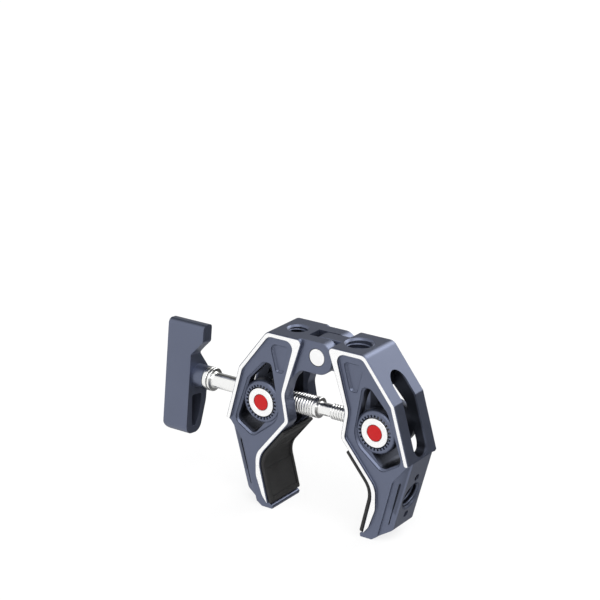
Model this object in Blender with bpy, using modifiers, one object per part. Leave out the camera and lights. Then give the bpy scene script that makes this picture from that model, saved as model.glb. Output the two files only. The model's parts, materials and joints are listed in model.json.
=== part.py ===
"""Crab clamp: two hinged aluminium jaws drawn together by a double-threaded spindle.

Metres, +Z up. The origin lies in the middle of the hinge knuckle's flat top. +X runs from
the handle's jaw to the other one, and the spindle lies along X. -Y is the front.
"""
import math

import bmesh
import bpy
from mathutils import Matrix, Vector

MM = 0.001

# Clearances
RUNNING_GAP = 0.30 * MM
SEAT_GAP = 0.15 * MM

# Jaw outline, for the jaw on the +X side; the other jaw mirrors it
JAW_DEPTH = 17.0 * MM
TOP_INNER_X = 4.6 * MM
TOP_OUTER_X = 18.4 * MM
SHOULDER_X, SHOULDER_Z = 29.4 * MM, -14.1 * MM
ELBOW_X, ELBOW_Z = 34.7 * MM, -32.7 * MM
HEEL_X, HEEL_Z = 27.9 * MM, -57.0 * MM
TOE_BACK_X, TOE_BACK_Z = 23.4 * MM, -59.7 * MM
TOE_FLAT_X = 21.2 * MM
TOE_Z = -61.2 * MM
TOE_TIP_X = 17.1 * MM
PAD_FOOT_X, PAD_FOOT_Z = 18.25 * MM, -59.4 * MM
BITE_X, BITE_Z = 22.05 * MM, -44.1 * MM
KNEE_X, KNEE_Z = 9.74 * MM, -29.1 * MM
WAIST_X, WAIST_Z = 11.3 * MM, -19.9 * MM
TOP_CORNER_RADIUS = 1.8 * MM
SHOULDER_RADIUS = 1.2 * MM
SMALL_RADIUS = 0.6 * MM
BITE_RADIUS = 8.0 * MM
KNEE_RADIUS = 2.5 * MM
WAIST_RADIUS = 5.0 * MM
EDGE_BREAK = 0.2 * MM

# Raised rim round each face of a jaw
RIM_HEIGHT = 0.9 * MM
RIM_WIDTH = 1.4 * MM
RIM_CORNER_WIDTH = 2.5 * MM
PANEL_CORNER_RADIUS = 2.6 * MM

# Weight-saving pocket near the top of each face
POCKET_TOP_Z = -3.9 * MM
POCKET_TOP_INNER_X = 10.1 * MM
POCKET_TOP_OUTER_X = 17.5 * MM
POCKET_LOW_Z = -13.3 * MM
POCKET_LOW_INNER_X = 12.6 * MM
POCKET_LOW_OUTER_X = 15.3 * MM
POCKET_RADIUS = 1.2 * MM
POCKET_DEPTH = 0.4 * MM

# Window through each face, round the trunnion
WINDOW_TOP_Z = -10.3 * MM
WINDOW_TOP_INNER_X = 17.8 * MM
WINDOW_TOP_OUTER_X = 20.0 * MM
WINDOW_SHOULDER_X, WINDOW_SHOULDER_Z = 26.0 * MM, -17.6 * MM
WINDOW_ELBOW_X, WINDOW_ELBOW_Z = 30.9 * MM, -32.9 * MM
WINDOW_FOOT_X, WINDOW_FOOT_Z = 24.6 * MM, -37.0 * MM
WINDOW_INNER_X, WINDOW_INNER_Z = 14.7 * MM, -25.2 * MM
WINDOW_RADIUS = 2.2 * MM
WINDOW_FLARE = 0.5 * MM

# Lower arm: the flanks step down to a narrow outer face
LOWER_FACE_WIDTH = 11.2 * MM
RIDGE_TOP_X, RIDGE_TOP_Z = 33.1 * MM, -33.7 * MM
RIDGE_BEND_X, RIDGE_BEND_Z = 28.35 * MM, -39.7 * MM
RIDGE_FOOT_X, RIDGE_FOOT_Z = 22.9 * MM, -60.3 * MM
RIDGE_STEP = 0.3 * MM
GROOVE_LENGTH = 15.6 * MM
GROOVE_WIDTH = 0.6 * MM
GROOVE_DEPTH = 0.4 * MM
GROOVE_PLACE = 0.55

# Hinge
HINGE_Z = -5.06 * MM
HINGE_PIN_RADIUS = 2.8 * MM
KNUCKLE_WIDTH = 5.0 * MM
KNUCKLE_RADIUS = 5.4 * MM
EAR_RADIUS = 5.6 * MM
EAR_OUTER_WIDTH = 14.4 * MM
GUSSET_DROP = 4.0 * MM
LUG_TOP_RADIUS = 4.2 * MM

# Trunnion bosses, nuts and their end caps
TRUNNION_X, TRUNNION_Z = 21.57 * MM, -25.1 * MM
BOSS_RADIUS = 7.2 * MM
BOSS_WIDTH = 14.3 * MM
BOSS_ROUND = 0.9 * MM
NUT_RADIUS = 4.8 * MM
NUT_LENGTH = 11.6 * MM
RING_WIDTH_OVER = 14.8 * MM
CAP_RADIUS = 2.6 * MM
CAP_DEPTH = 0.7 * MM
SERRATIONS = 28
SERRATION_HEIGHT = 0.6 * MM
SERRATION_DEPTH = 0.8 * MM

# Spindle, from its handle end to its plain end
SPINDLE_SLOT_WIDTH = 7.8 * MM
INNER_SLOT_TOP_Z, INNER_SLOT_FOOT_Z = -12.3 * MM, -33.0 * MM
OUTER_SLOT_WIDTH = 7.5 * MM
OUTER_SLOT_TOP_Z, OUTER_SLOT_FOOT_Z = -6.2 * MM, -32.3 * MM
LARGE_THREAD_RADIUS = 3.45 * MM
SMALL_THREAD_RADIUS = 2.5 * MM
WAIST_SHAFT_RADIUS = 2.1 * MM
NECK_RADIUS = 2.6 * MM
COLLAR_RADIUS = 3.95 * MM
TENON_RADIUS = 2.0 * MM
TENON_END_X = -58.0 * MM
HANDLE_HUB_X = -49.3 * MM
WASHER_THICKNESS = 2.6 * MM
COLLAR_END_X = -42.6 * MM
LARGE_THREAD_START_X, LARGE_THREAD_END_X = -31.5 * MM, -4.9 * MM
SHOULDER_LENGTH = 1.7 * MM
SMALL_THREAD_START_X, SMALL_THREAD_END_X = 0.6 * MM, 28.3 * MM
TURNED_CHAMFER = 0.4 * MM

# Handle, measured along itself from the spindle
HANDLE_LEAN = math.radians(6.0)
HANDLE_OUTER_X = -63.7 * MM
HANDLE_BODY_X = -53.0 * MM
HANDLE_WING_X = -49.6 * MM
HANDLE_TOP = 18.6 * MM
HANDLE_WING_FOOT = 12.9 * MM
HANDLE_STEP_FOOT = 7.9 * MM
HANDLE_FOOT = -20.4 * MM
WING_THICKNESS = 4.2 * MM
HANDLE_THICKNESS = 9.9 * MM
HANDLE_CORNER = 1.1 * MM
HANDLE_POCKET_TOP, HANDLE_POCKET_FOOT = -6.4 * MM, -18.4 * MM
HANDLE_POCKET_WIDTH = 5.0 * MM
HANDLE_POCKET_DEPTH = 5.5 * MM
SCREW_HEAD_RADIUS = 2.5 * MM
SCREW_HEAD_THICKNESS = 1.6 * MM
SCREW_RADIUS = 1.2 * MM
SCREW_LENGTH = 9.0 * MM
SCREW_SOCKET_RADIUS = 1.1 * MM

# Threaded holes
TOP_HOLE_X = {1: 11.2 * MM, -1: -12.0 * MM}
TOP_HOLE_RADIUS = {1: 4.2 * MM, -1: 3.0 * MM}
TOP_HOLE_DEPTH = 6.4 * MM
HOLE_CHAMFER = 0.7 * MM
SIDE_HOLE_RADIUS = {1: 4.2 * MM, -1: 3.0 * MM}
SIDE_HOLE_DEPTH = 6.0 * MM
SIDE_HOLE_PLACE = 0.565
LOCATING_HOLE_RADIUS = 1.2 * MM
LOCATING_HOLE_SPACING = 6.95 * MM
LOCATING_HOLE_DEPTH = 4.0 * MM

# Rubber pads
PAD_THICKNESS = 1.4 * MM
PAD_WIDTH = 16.4 * MM
PAD_HEAD_X, PAD_HEAD_Z = 12.7 * MM, -32.7 * MM
PAD_FRAME = 1.5 * MM
PAD_RECESS = 0.5 * MM

# Segments on curved outlines
ARC_STEP = math.radians(18)
ARC_SHARE = 0.48
ROUND_SEGMENTS = 32
HOLE_SEGMENTS = 24

NAVY = (0.115, 0.130, 0.195, 1)
BRIGHT = (0.80, 0.80, 0.80, 1)
STEEL = (0.62, 0.62, 0.61, 1)
RED = (0.60, 0.022, 0.025, 1)
RUBBER = (0.022, 0.022, 0.024, 1)


def clear_scene():
    """Remove whatever the file holds, so that the model starts from nothing."""
    for thing in list(bpy.data.objects):
        bpy.data.objects.remove(thing, do_unlink=True)


def new_collection(name, hidden):
    """Return a collection for the parts or for the cutters."""
    group = bpy.data.collections.new(name)
    bpy.context.scene.collection.children.link(group)
    group.hide_render = hidden
    return group


def finish_material(name, colour, metallic, roughness):
    """Return a plain Principled material."""
    material = bpy.data.materials.new(name)
    material.use_nodes = True
    shader = material.node_tree.nodes["Principled BSDF"]
    shader.inputs["Base Color"].default_value = colour
    shader.inputs["Metallic"].default_value = metallic
    shader.inputs["Roughness"].default_value = roughness
    return material


def arc_corner(before, corner, after, radius):
    """Return the points that round one corner of an outline."""
    corner_point = Vector(corner)
    towards_before = (Vector(before) - corner_point).normalized()
    towards_after = (Vector(after) - corner_point).normalized()
    half = towards_before.angle(towards_after) / 2
    turn = math.pi - 2 * half
    if radius <= 0 or turn < math.radians(2):
        return [corner_point]
    shorter = min((Vector(before) - corner_point).length, (Vector(after) - corner_point).length)
    reach = min(radius / math.tan(half), shorter * ARC_SHARE)
    radius = reach * math.tan(half)
    centre = corner_point + (towards_before + towards_after).normalized() * radius / math.sin(half)
    start = corner_point + towards_before * reach - centre
    end = corner_point + towards_after * reach - centre
    steps = max(2, math.ceil(turn / ARC_STEP))
    sweep = start.angle_signed(end)
    points = []
    for step in range(steps + 1):
        points.append(centre + Matrix.Rotation(-sweep * step / steps, 2) @ start)
    return points


def rounded(corners):
    """Turn (x, z, radius) corners into the points of a rounded outline."""
    points = []
    for index, (x, z, radius) in enumerate(corners):
        before = corners[index - 1][:2]
        after = corners[(index + 1) % len(corners)][:2]
        points.extend(arc_corner(before, (x, z), after, radius))
    return points


def crossing(start_a, end_a, start_b, end_b):
    """Return where two lines cross."""
    along_a = end_a - start_a
    along_b = end_b - start_b
    across = start_b - start_a
    share = across.cross(along_b) / along_a.cross(along_b)
    return start_a + along_a * share


def shifted_edge(start, end, width_start, width_end):
    """Move an edge to its left by one width at its start and another at its end."""
    along = (Vector(end) - Vector(start)).normalized()
    left = Vector((-along.y, along.x))
    return Vector(start) + left * width_start, Vector(end) + left * width_end


def mirror_outline(points, side):
    """Flip an outline in X for the jaw on the -X side."""
    return [(point[0] * side, point[1]) for point in points]


def mesh_object(name, mesh, group):
    """Wrap a mesh in an object of one collection."""
    thing = bpy.data.objects.new(name, mesh)
    group.objects.link(thing)
    return thing


def prism(name, outline, y_from, y_to, group, chamfer=0.0, segments=1):
    """Extrude an outline in XZ from one Y to another, with its edges broken if asked."""
    curve = bpy.data.curves.new(name, "CURVE")
    curve.dimensions = "2D"
    curve.fill_mode = "BOTH"
    curve.extrude = abs(y_to - y_from) / 2
    spline = curve.splines.new("POLY")
    spline.points.add(len(outline) - 1)
    spline.use_cyclic_u = True
    for point, (x, z) in zip(spline.points, outline):
        point.co = (x, z, 0, 1)
    placed = Matrix.Translation((0, (y_from + y_to) / 2, 0)) @ Matrix.Rotation(math.pi / 2, 4, "X")
    return solid_from_curve(name, curve, placed, group, chamfer, segments)


def solid_from_curve(name, curve, placed, group, chamfer=0.0, segments=1):
    """Turn a filled curve into a welded mesh object in the world's axes."""
    drawn = bpy.data.objects.new(name + "_curve", curve)
    group.objects.link(drawn)
    drawn.matrix_world = placed
    bpy.context.view_layer.update()
    evaluated = drawn.evaluated_get(bpy.context.evaluated_depsgraph_get())
    mesh = bpy.data.meshes.new_from_object(evaluated)
    mesh.transform(placed)
    bpy.data.objects.remove(drawn)
    shape = bmesh.new()
    shape.from_mesh(mesh)
    bmesh.ops.remove_doubles(shape, verts=shape.verts, dist=1e-6)
    bmesh.ops.dissolve_limit(shape, angle_limit=math.radians(0.5), verts=shape.verts, edges=shape.edges)
    if chamfer:
        flat_edges = [edge for edge in shape.edges if edge.calc_face_angle(0) > math.radians(80)]
        bmesh.ops.bevel(shape, geom=flat_edges, offset=chamfer, segments=segments, profile=0.5,
                        affect="EDGES", clamp_overlap=True)
    bmesh.ops.recalc_face_normals(shape, faces=shape.faces)
    shape.to_mesh(mesh)
    shape.free()
    return mesh_object(name, mesh, group)


def drum(name, radius, start, end, group, tip_radius=None, segments=ROUND_SEGMENTS):
    """Make a cylinder or a cone between two points."""
    start, end = Vector(start), Vector(end)
    axis = end - start
    shape = bmesh.new()
    bmesh.ops.create_cone(shape, cap_ends=True, segments=segments, radius1=radius,
                          radius2=radius if tip_radius is None else tip_radius, depth=axis.length)
    turned = axis.to_track_quat("Z", "Y").to_matrix().to_4x4()
    bmesh.ops.transform(shape, matrix=Matrix.Translation((start + end) / 2) @ turned, verts=shape.verts)
    mesh = bpy.data.meshes.new(name)
    shape.to_mesh(mesh)
    shape.free()
    return mesh_object(name, mesh, group)


def turned_solid(name, profile, axis_point, axis_angle, group, hollow=False, segments=ROUND_SEGMENTS):
    """Turn a (radius, height) profile, given from top to bottom, round its own axis."""
    mesh = bpy.data.meshes.new(name)
    vertices = [(radius, 0, height) for radius, height in profile]
    edges = [(i, i + 1) for i in range(len(vertices) - 1)]
    if hollow:
        edges.append((len(vertices) - 1, 0))
    mesh.from_pydata(vertices, edges, [])
    thing = mesh_object(name, mesh, group)
    thing.location = axis_point
    thing.rotation_euler = axis_angle
    screw = thing.modifiers.new("turned", "SCREW")
    screw.axis = "Z"
    screw.steps = segments
    screw.render_steps = segments
    screw.use_merge_vertices = True
    screw.merge_threshold = 1e-6
    return thing


def combine(target, tool, operation):
    """Add one exact Boolean to an object."""
    boolean = target.modifiers.new(operation.lower() + "_" + tool.name, "BOOLEAN")
    boolean.operation = operation
    boolean.solver = "EXACT"
    boolean.object = tool
    tool.display_type = "WIRE"
    tool.hide_render = True


def set_origin(thing, point):
    """Move an object's origin to a point and leave its shape where it is."""
    thing.data.transform(Matrix.Translation(-Vector(point)))
    thing.location = point


def dress(thing, material):
    """Give an object its material and smooth round sides."""
    thing.data.materials.clear()
    thing.data.materials.append(material)
    thing.data.shade_smooth()
    thing.data.set_sharp_from_angle(angle=math.radians(30))


def jaw_corners():
    """The jaw's outline as (x, z, radius), clockwise from its top inner corner."""
    return [
        (TOP_INNER_X, 0, SMALL_RADIUS),
        (TOP_OUTER_X, 0, TOP_CORNER_RADIUS),
        (SHOULDER_X, SHOULDER_Z, SHOULDER_RADIUS),
        (ELBOW_X, ELBOW_Z, SMALL_RADIUS),
        (HEEL_X, HEEL_Z, SMALL_RADIUS),
        (TOE_BACK_X, TOE_BACK_Z, SMALL_RADIUS),
        (TOE_FLAT_X, TOE_Z, SMALL_RADIUS),
        (TOE_TIP_X, TOE_Z, 0),
        (TOE_TIP_X - SMALL_RADIUS / 2, PAD_FOOT_Z - SMALL_RADIUS, 0),
        (PAD_FOOT_X, PAD_FOOT_Z, 0),
        (BITE_X, BITE_Z, BITE_RADIUS),
        (KNEE_X, KNEE_Z, KNEE_RADIUS),
        (WAIST_X, WAIST_Z, WAIST_RADIUS),
    ]


def panel_corners():
    """The sunk panel inside the rim; below the elbow it runs out past the outer side."""
    beyond = JAW_DEPTH
    elbow, shoulder = (ELBOW_X, ELBOW_Z), (SHOULDER_X, SHOULDER_Z)
    top_outer, top_inner = (TOP_OUTER_X, 0), (TOP_INNER_X, 0)
    waist, knee, bite = (WAIST_X, WAIST_Z), (KNEE_X, KNEE_Z), (BITE_X, BITE_Z)
    foot = (TOE_TIP_X, TOE_Z)
    edges = [
        shifted_edge(elbow, shoulder, RIM_WIDTH, RIM_WIDTH),
        shifted_edge(shoulder, top_outer, RIM_WIDTH, RIM_WIDTH),
        shifted_edge(top_outer, top_inner, RIM_WIDTH, RIM_WIDTH),
        shifted_edge(top_inner, waist, RIM_CORNER_WIDTH, RIM_WIDTH),
        shifted_edge(waist, knee, RIM_WIDTH, RIM_WIDTH),
        shifted_edge(knee, bite, RIM_WIDTH, RIM_WIDTH),
        shifted_edge(bite, foot, RIM_WIDTH, RIM_WIDTH / 4),
    ]
    radii = [
        SHOULDER_RADIUS, TOP_CORNER_RADIUS, PANEL_CORNER_RADIUS, WAIST_RADIUS + RIM_WIDTH,
        KNEE_RADIUS - RIM_WIDTH / 2, BITE_RADIUS - RIM_WIDTH,
    ]
    corners = [(ELBOW_X + beyond, ELBOW_Z - SMALL_RADIUS, 0)]
    outer_foot = crossing(*edges[0], Vector((0, ELBOW_Z - SMALL_RADIUS)), Vector((1, ELBOW_Z - SMALL_RADIUS)))
    corners.append((outer_foot.x, outer_foot.y, 0))
    for first, second, radius in zip(edges, edges[1:], radii):
        meeting = crossing(*first, *second)
        corners.append((meeting.x, meeting.y, radius))
    toe = edges[-1][1]
    down = (edges[-1][1] - edges[-1][0]).normalized() * RIM_WIDTH
    corners.append((toe.x + down.x, toe.y + down.y, 0))
    corners.append((ELBOW_X + beyond, TOE_Z - beyond, 0))
    return corners


def window_corners(flare=0.0):
    """The window's outline, wider all round by a flare."""
    base = [
        (WINDOW_TOP_INNER_X, WINDOW_TOP_Z),
        (WINDOW_TOP_OUTER_X, WINDOW_TOP_Z),
        (WINDOW_SHOULDER_X, WINDOW_SHOULDER_Z),
        (WINDOW_ELBOW_X, WINDOW_ELBOW_Z),
        (WINDOW_FOOT_X, WINDOW_FOOT_Z),
        (WINDOW_INNER_X, WINDOW_INNER_Z),
    ]
    edges = [shifted_edge(a, b, flare, flare) for a, b in zip(base, base[1:] + base[:1])]
    corners = []
    for index, edge in enumerate(edges):
        meeting = crossing(*edges[index - 1], *edge)
        corners.append((meeting.x, meeting.y, WINDOW_RADIUS + flare))
    return corners


def pocket_corners():
    """The shallow pocket near the top of a face."""
    return [
        (POCKET_TOP_INNER_X, POCKET_TOP_Z, POCKET_RADIUS),
        (POCKET_TOP_OUTER_X, POCKET_TOP_Z, POCKET_RADIUS),
        (POCKET_LOW_OUTER_X, POCKET_LOW_Z, POCKET_RADIUS),
        (POCKET_LOW_INNER_X, POCKET_LOW_Z, POCKET_RADIUS),
    ]


def lug_corners(radius, reach):
    """A hinge lug about the hinge axis, with a gusset under it where it joins its jaw."""
    foot = HINGE_Z - radius
    return [
        (-radius, 0, LUG_TOP_RADIUS),
        (reach, 0, 0),
        (reach, foot - GUSSET_DROP, 0),
        (reach - GUSSET_DROP / 2, foot, GUSSET_DROP / 2),
        (-radius, foot, radius),
    ]


def slot_outline(width, top, foot):
    """A slot with round ends, as points of half its width against height."""
    half = width / 2
    points = []
    for middle, start in ((top - half, 0.0), (foot + half, math.pi)):
        steps = int(math.pi / ARC_STEP)
        for step in range(steps + 1):
            angle = start + math.pi * step / steps
            points.append((half * math.cos(angle), middle + half * math.sin(angle)))
    return points


def slot_along_x(name, width, top, foot, x_from, x_to, group):
    """Extrude a round-ended slot along X."""
    cutter = prism(name, slot_outline(width, top, foot), x_from, x_to, group)
    cutter.data.transform(Matrix.Rotation(-math.pi / 2, 4, "Z"))
    return cutter


def serrated_outline(inner, outer, count):
    """A round opening whose edge is cut by square notches."""
    points = []
    notch = math.pi / count
    for tooth in range(count):
        middle = 2 * math.pi * tooth / count
        for angle, radius in ((-notch / 2, inner), (-notch / 2, outer), (notch / 2, outer), (notch / 2, inner)):
            points.append((TRUNNION_X + radius * math.cos(middle + angle),
                           TRUNNION_Z + radius * math.sin(middle + angle)))
    return points


def flank_frame(side, face):
    """Axes of a lower flank: along the ridge, down its slope, and out of it."""
    bend = Vector((RIDGE_BEND_X, RIDGE_BEND_Z))
    along = (Vector((RIDGE_FOOT_X, RIDGE_FOOT_Z)) - bend).normalized()
    across = Vector((-along.y, along.x))
    elbow, heel = Vector((ELBOW_X, ELBOW_Z)), Vector((HEEL_X, HEEL_Z))
    run = (crossing(bend, bend + across, elbow, heel) - bend).length
    top = JAW_DEPTH / 2 - RIM_HEIGHT - RIDGE_STEP
    drop = top - LOWER_FACE_WIDTH / 2
    x_axis = Vector((along.x * side, 0, along.y))
    y_axis = Vector((across.x * side * run, -face * drop, across.y * run)).normalized()
    z_axis = x_axis.cross(y_axis)
    frame = Matrix((x_axis, y_axis, z_axis)).transposed().to_4x4()
    frame.translation = (bend.x * side, face * top, bend.y)
    outward = 1 if z_axis.y * face > 0 else -1
    return frame, outward, run, along, across


def flank_cutters(side, face, group):
    """Cutters for one sloped flank of the lower arm and for its long groove."""
    frame, outward, run, along, across = flank_frame(side, face)
    bend = Vector((RIDGE_BEND_X, RIDGE_BEND_Z))
    length = (Vector((RIDGE_FOOT_X, RIDGE_FOOT_Z)) - bend).length + JAW_DEPTH / 4
    reach = run + JAW_DEPTH / 4

    def local(x, z):
        offset = Vector((x, z)) - bend
        return offset.dot(along), offset.dot(across)

    ridge_top = local(RIDGE_TOP_X, RIDGE_TOP_Z)
    elbow = local(ELBOW_X, ELBOW_Z)
    outline = [(0, 0), (length, 0), (length, reach), (elbow[0], reach), elbow, ridge_top]
    height = JAW_DEPTH / 4
    flank = plate_in_frame(f"flank_{side}_{face}", outline, frame, 0, outward * height, group)
    middle = run * GROOVE_PLACE
    half = GROOVE_WIDTH / 2
    groove_outline = [(-half, middle), (half, middle - half), (GROOVE_LENGTH - half, middle - half / 2),
                      (GROOVE_LENGTH, middle), (GROOVE_LENGTH - half, middle + half / 2), (half, middle + half)]
    groove = plate_in_frame(f"groove_{side}_{face}", groove_outline, frame,
                            -outward * GROOVE_DEPTH, outward * height, group)
    return flank, groove


def plate_in_frame(name, outline, frame, low, high, group):
    """Extrude an outline along the third axis of a frame."""
    curve = bpy.data.curves.new(name, "CURVE")
    curve.dimensions = "2D"
    curve.fill_mode = "BOTH"
    curve.extrude = abs(high - low) / 2
    spline = curve.splines.new("POLY")
    spline.points.add(len(outline) - 1)
    spline.use_cyclic_u = True
    for point, (x, y) in zip(spline.points, outline):
        point.co = (x, y, 0, 1)
    placed = frame @ Matrix.Translation((0, 0, (low + high) / 2))
    return solid_from_curve(name, curve, placed, group)


def lower_face():
    """Start, direction and outward normal of the narrow outer face, in XZ."""
    elbow, heel = Vector((ELBOW_X, ELBOW_Z)), Vector((HEEL_X, HEEL_Z))
    along = (heel - elbow).normalized()
    return elbow, along, Vector((-along.y, along.x)), (heel - elbow).length


def hole_cutter(name, radius, depth, mouth, outward, group, chamfer=HOLE_CHAMFER):
    """A blind hole with a chamfered mouth, turned about its own axis."""
    profile = [(0, chamfer), (radius + chamfer * 2, chamfer), (radius, -chamfer), (radius, -depth), (0, -depth)]
    turn = Vector(outward).to_track_quat("Z", "Y").to_euler()
    return turned_solid(name, profile, mouth, turn, group, segments=HOLE_SEGMENTS)


def jaw(name, side, parts, cutters, material):
    """One jaw, forged in one piece with its hinge lugs and trunnion bosses."""
    half = JAW_DEPTH / 2
    beyond = JAW_DEPTH
    body = prism(name, mirror_outline(rounded(jaw_corners()), side), -half, half, parts, EDGE_BREAK)
    panel = half - RIM_HEIGHT
    panel_outline = mirror_outline(rounded(panel_corners()), side)
    pocket_outline = mirror_outline(rounded(pocket_corners()), side)
    flare_outline = mirror_outline(rounded(window_corners(WINDOW_FLARE)), side)
    for face in (-1, 1):
        sunk = prism(f"panel_{side}_{face}", panel_outline, face * panel, face * beyond, cutters)
        combine(body, sunk, "DIFFERENCE")
        dent = prism(f"pocket_{side}_{face}", pocket_outline, face * (panel - POCKET_DEPTH),
                     face * beyond, cutters)
        combine(body, dent, "DIFFERENCE")
        flare = prism(f"flare_{side}_{face}", flare_outline, face * (panel - WINDOW_FLARE),
                      face * beyond, cutters, WINDOW_FLARE * 0.9)
        combine(body, flare, "DIFFERENCE")
        flank, groove = flank_cutters(side, face, cutters)
        combine(body, flank, "DIFFERENCE")
        combine(body, groove, "DIFFERENCE")
    window = prism(f"window_{side}", mirror_outline(rounded(window_corners()), side), -beyond, beyond, cutters)
    combine(body, window, "DIFFERENCE")
    boss = drum(f"boss_{side}", BOSS_RADIUS, (side * TRUNNION_X, -BOSS_WIDTH / 2, TRUNNION_Z),
                (side * TRUNNION_X, BOSS_WIDTH / 2, TRUNNION_Z), cutters)
    rounding = boss.modifiers.new("round", "BEVEL")
    rounding.width = BOSS_ROUND
    rounding.segments = 3
    rounding.limit_method = "ANGLE"
    rounding.angle_limit = math.radians(60)
    combine(body, boss, "UNION")
    add_hinge(body, side, cutters)
    inner = slot_along_x(f"inner_slot_{side}", SPINDLE_SLOT_WIDTH, INNER_SLOT_TOP_Z, INNER_SLOT_FOOT_Z,
                         -side * TOP_INNER_X, side * (TRUNNION_X + BOSS_RADIUS / 3), cutters)
    combine(body, inner, "DIFFERENCE")
    outer = slot_along_x(f"outer_slot_{side}", OUTER_SLOT_WIDTH, OUTER_SLOT_TOP_Z, OUTER_SLOT_FOOT_Z,
                         side * (TRUNNION_X - RUNNING_GAP), side * (ELBOW_X + beyond), cutters)
    combine(body, outer, "DIFFERENCE")
    seat = NUT_RADIUS + RUNNING_GAP
    bore = drum(f"trunnion_bore_{side}", seat, (side * TRUNNION_X, -beyond, TRUNNION_Z),
                (side * TRUNNION_X, beyond, TRUNNION_Z), cutters)
    combine(body, bore, "DIFFERENCE")
    teeth = serrated_outline(seat + EDGE_BREAK / 4, seat + SERRATION_HEIGHT, SERRATIONS)
    for face in (-1, 1):
        notches = prism(f"serration_{side}_{face}", mirror_outline(teeth, side),
                        face * (BOSS_WIDTH / 2 - SERRATION_DEPTH), face * beyond, cutters)
        combine(body, notches, "DIFFERENCE")
    drill_jaw(body, side, cutters)
    set_origin(body, (0, 0, HINGE_Z))
    dress(body, material)
    return body


def add_hinge(body, side, cutters):
    """A knuckle on one jaw; on the handle's jaw a wide lug, slotted into two ears."""
    beyond = JAW_DEPTH
    if side == 1:
        outline = rounded(lug_corners(KNUCKLE_RADIUS, lug_reach()))
        half = KNUCKLE_WIDTH / 2
        knuckle = prism("knuckle", outline, -half, half, cutters, EDGE_BREAK)
        combine(body, knuckle, "UNION")
        bore = HINGE_PIN_RADIUS + RUNNING_GAP
    else:
        outline = mirror_outline(rounded(lug_corners(EAR_RADIUS, lug_reach())), side)
        half = EAR_OUTER_WIDTH / 2
        ears = prism("ears", outline, -half, half, cutters, EDGE_BREAK)
        combine(body, ears, "UNION")
        inner = KNUCKLE_WIDTH / 2 + RUNNING_GAP
        notch = prism("knuckle_notch", notch_corners(), -inner, inner, cutters)
        combine(body, notch, "DIFFERENCE")
        bore = HINGE_PIN_RADIUS + SEAT_GAP
    pin_hole = drum(f"pin_hole_{side}", bore, (0, -beyond, HINGE_Z), (0, beyond, HINGE_Z), cutters)
    combine(body, pin_hole, "DIFFERENCE")


def notch_corners():
    """The slot between the ears, which then follows the jaw's inner edge down."""
    beyond = JAW_DEPTH
    end = -EAR_RADIUS - RUNNING_GAP
    slope = (WAIST_X - TOP_INNER_X) / WAIST_Z
    edge = -TOP_INNER_X - EDGE_BREAK
    bend = (end - edge) / -slope
    foot = HINGE_Z - EAR_RADIUS - GUSSET_DROP - RUNNING_GAP
    return [(end, beyond), (end, bend), (edge - slope * foot, foot), (beyond, foot), (beyond, beyond)]


def lug_reach():
    """How far a lug runs into its jaw: past the slope of the inner edge."""
    slope = (WAIST_X - TOP_INNER_X) / -WAIST_Z
    return TOP_INNER_X + slope * (EAR_RADIUS - HINGE_Z + GUSSET_DROP) + SEAT_GAP


def drill_jaw(body, side, cutters):
    """The threaded hole in the top and the threaded and locating holes in the outer face."""
    top = hole_cutter(f"top_hole_{side}", TOP_HOLE_RADIUS[side], TOP_HOLE_DEPTH, (TOP_HOLE_X[side], 0, 0),
                      (0, 0, 1), cutters)
    combine(body, top, "DIFFERENCE")
    start, along, normal, length = lower_face()
    outward = Vector((normal.x * side, 0, normal.y))
    middle = start + along * length * SIDE_HOLE_PLACE
    outer = hole_cutter(f"side_hole_{side}", SIDE_HOLE_RADIUS[side], SIDE_HOLE_DEPTH,
                        (middle.x * side, 0, middle.y), outward, cutters)
    combine(body, outer, "DIFFERENCE")
    for step in (-1, 1):
        place = middle + along * step * LOCATING_HOLE_SPACING
        mouth = Vector((place.x * side, 0, place.y))
        hole = drum(f"locating_hole_{side}_{step}", LOCATING_HOLE_RADIUS, mouth - outward * LOCATING_HOLE_DEPTH,
                    mouth + outward * HOLE_CHAMFER, cutters, segments=HOLE_SEGMENTS // 2)
        combine(body, hole, "DIFFERENCE")


def pad(name, side, parts, cutters, material):
    """A moulded rubber pad that follows the lower inner edge of its jaw."""
    head, bite = (PAD_HEAD_X, PAD_HEAD_Z), (BITE_X, BITE_Z)
    foot = (PAD_FOOT_X, PAD_FOOT_Z)
    face_radius = BITE_RADIUS - PAD_THICKNESS

    def layer(depth):
        upper = shifted_edge(bite, head, depth, depth)
        lower = shifted_edge(foot, bite, depth, depth)
        meeting = crossing(*lower, *upper)
        return upper[1], meeting, lower[0]

    seat = layer(SEAT_GAP)
    skin = layer(PAD_THICKNESS)
    corner = PAD_THICKNESS / 3
    corners = [
        (*seat[0], 0), (*seat[1], BITE_RADIUS - SEAT_GAP), (*seat[2], 0),
        (*skin[2], corner), (*skin[1], face_radius), (*skin[0], corner),
    ]
    half = PAD_WIDTH / 2
    body = prism(name, mirror_outline(rounded(corners), side), -half, half, parts, corner)
    floor = layer(PAD_THICKNESS - PAD_RECESS)
    sky = layer(PAD_THICKNESS * 3)
    upper_in = (floor[1] - floor[0]).normalized() * PAD_FRAME
    lower_in = (floor[1] - floor[2]).normalized() * PAD_FRAME
    recess = [
        (*(floor[0] + upper_in), 0), (*floor[1], BITE_RADIUS - PAD_THICKNESS + PAD_RECESS),
        (*(floor[2] + lower_in), 0), (*(sky[2] + lower_in), 0), (*sky[1], 0), (*(sky[0] + upper_in), 0),
    ]
    inner_half = half - PAD_FRAME
    hollow = prism(f"pad_recess_{side}", mirror_outline(rounded(recess), side), -inner_half, inner_half, cutters)
    combine(body, hollow, "DIFFERENCE")
    set_origin(body, (0, 0, HINGE_Z))
    dress(body, material)


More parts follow.
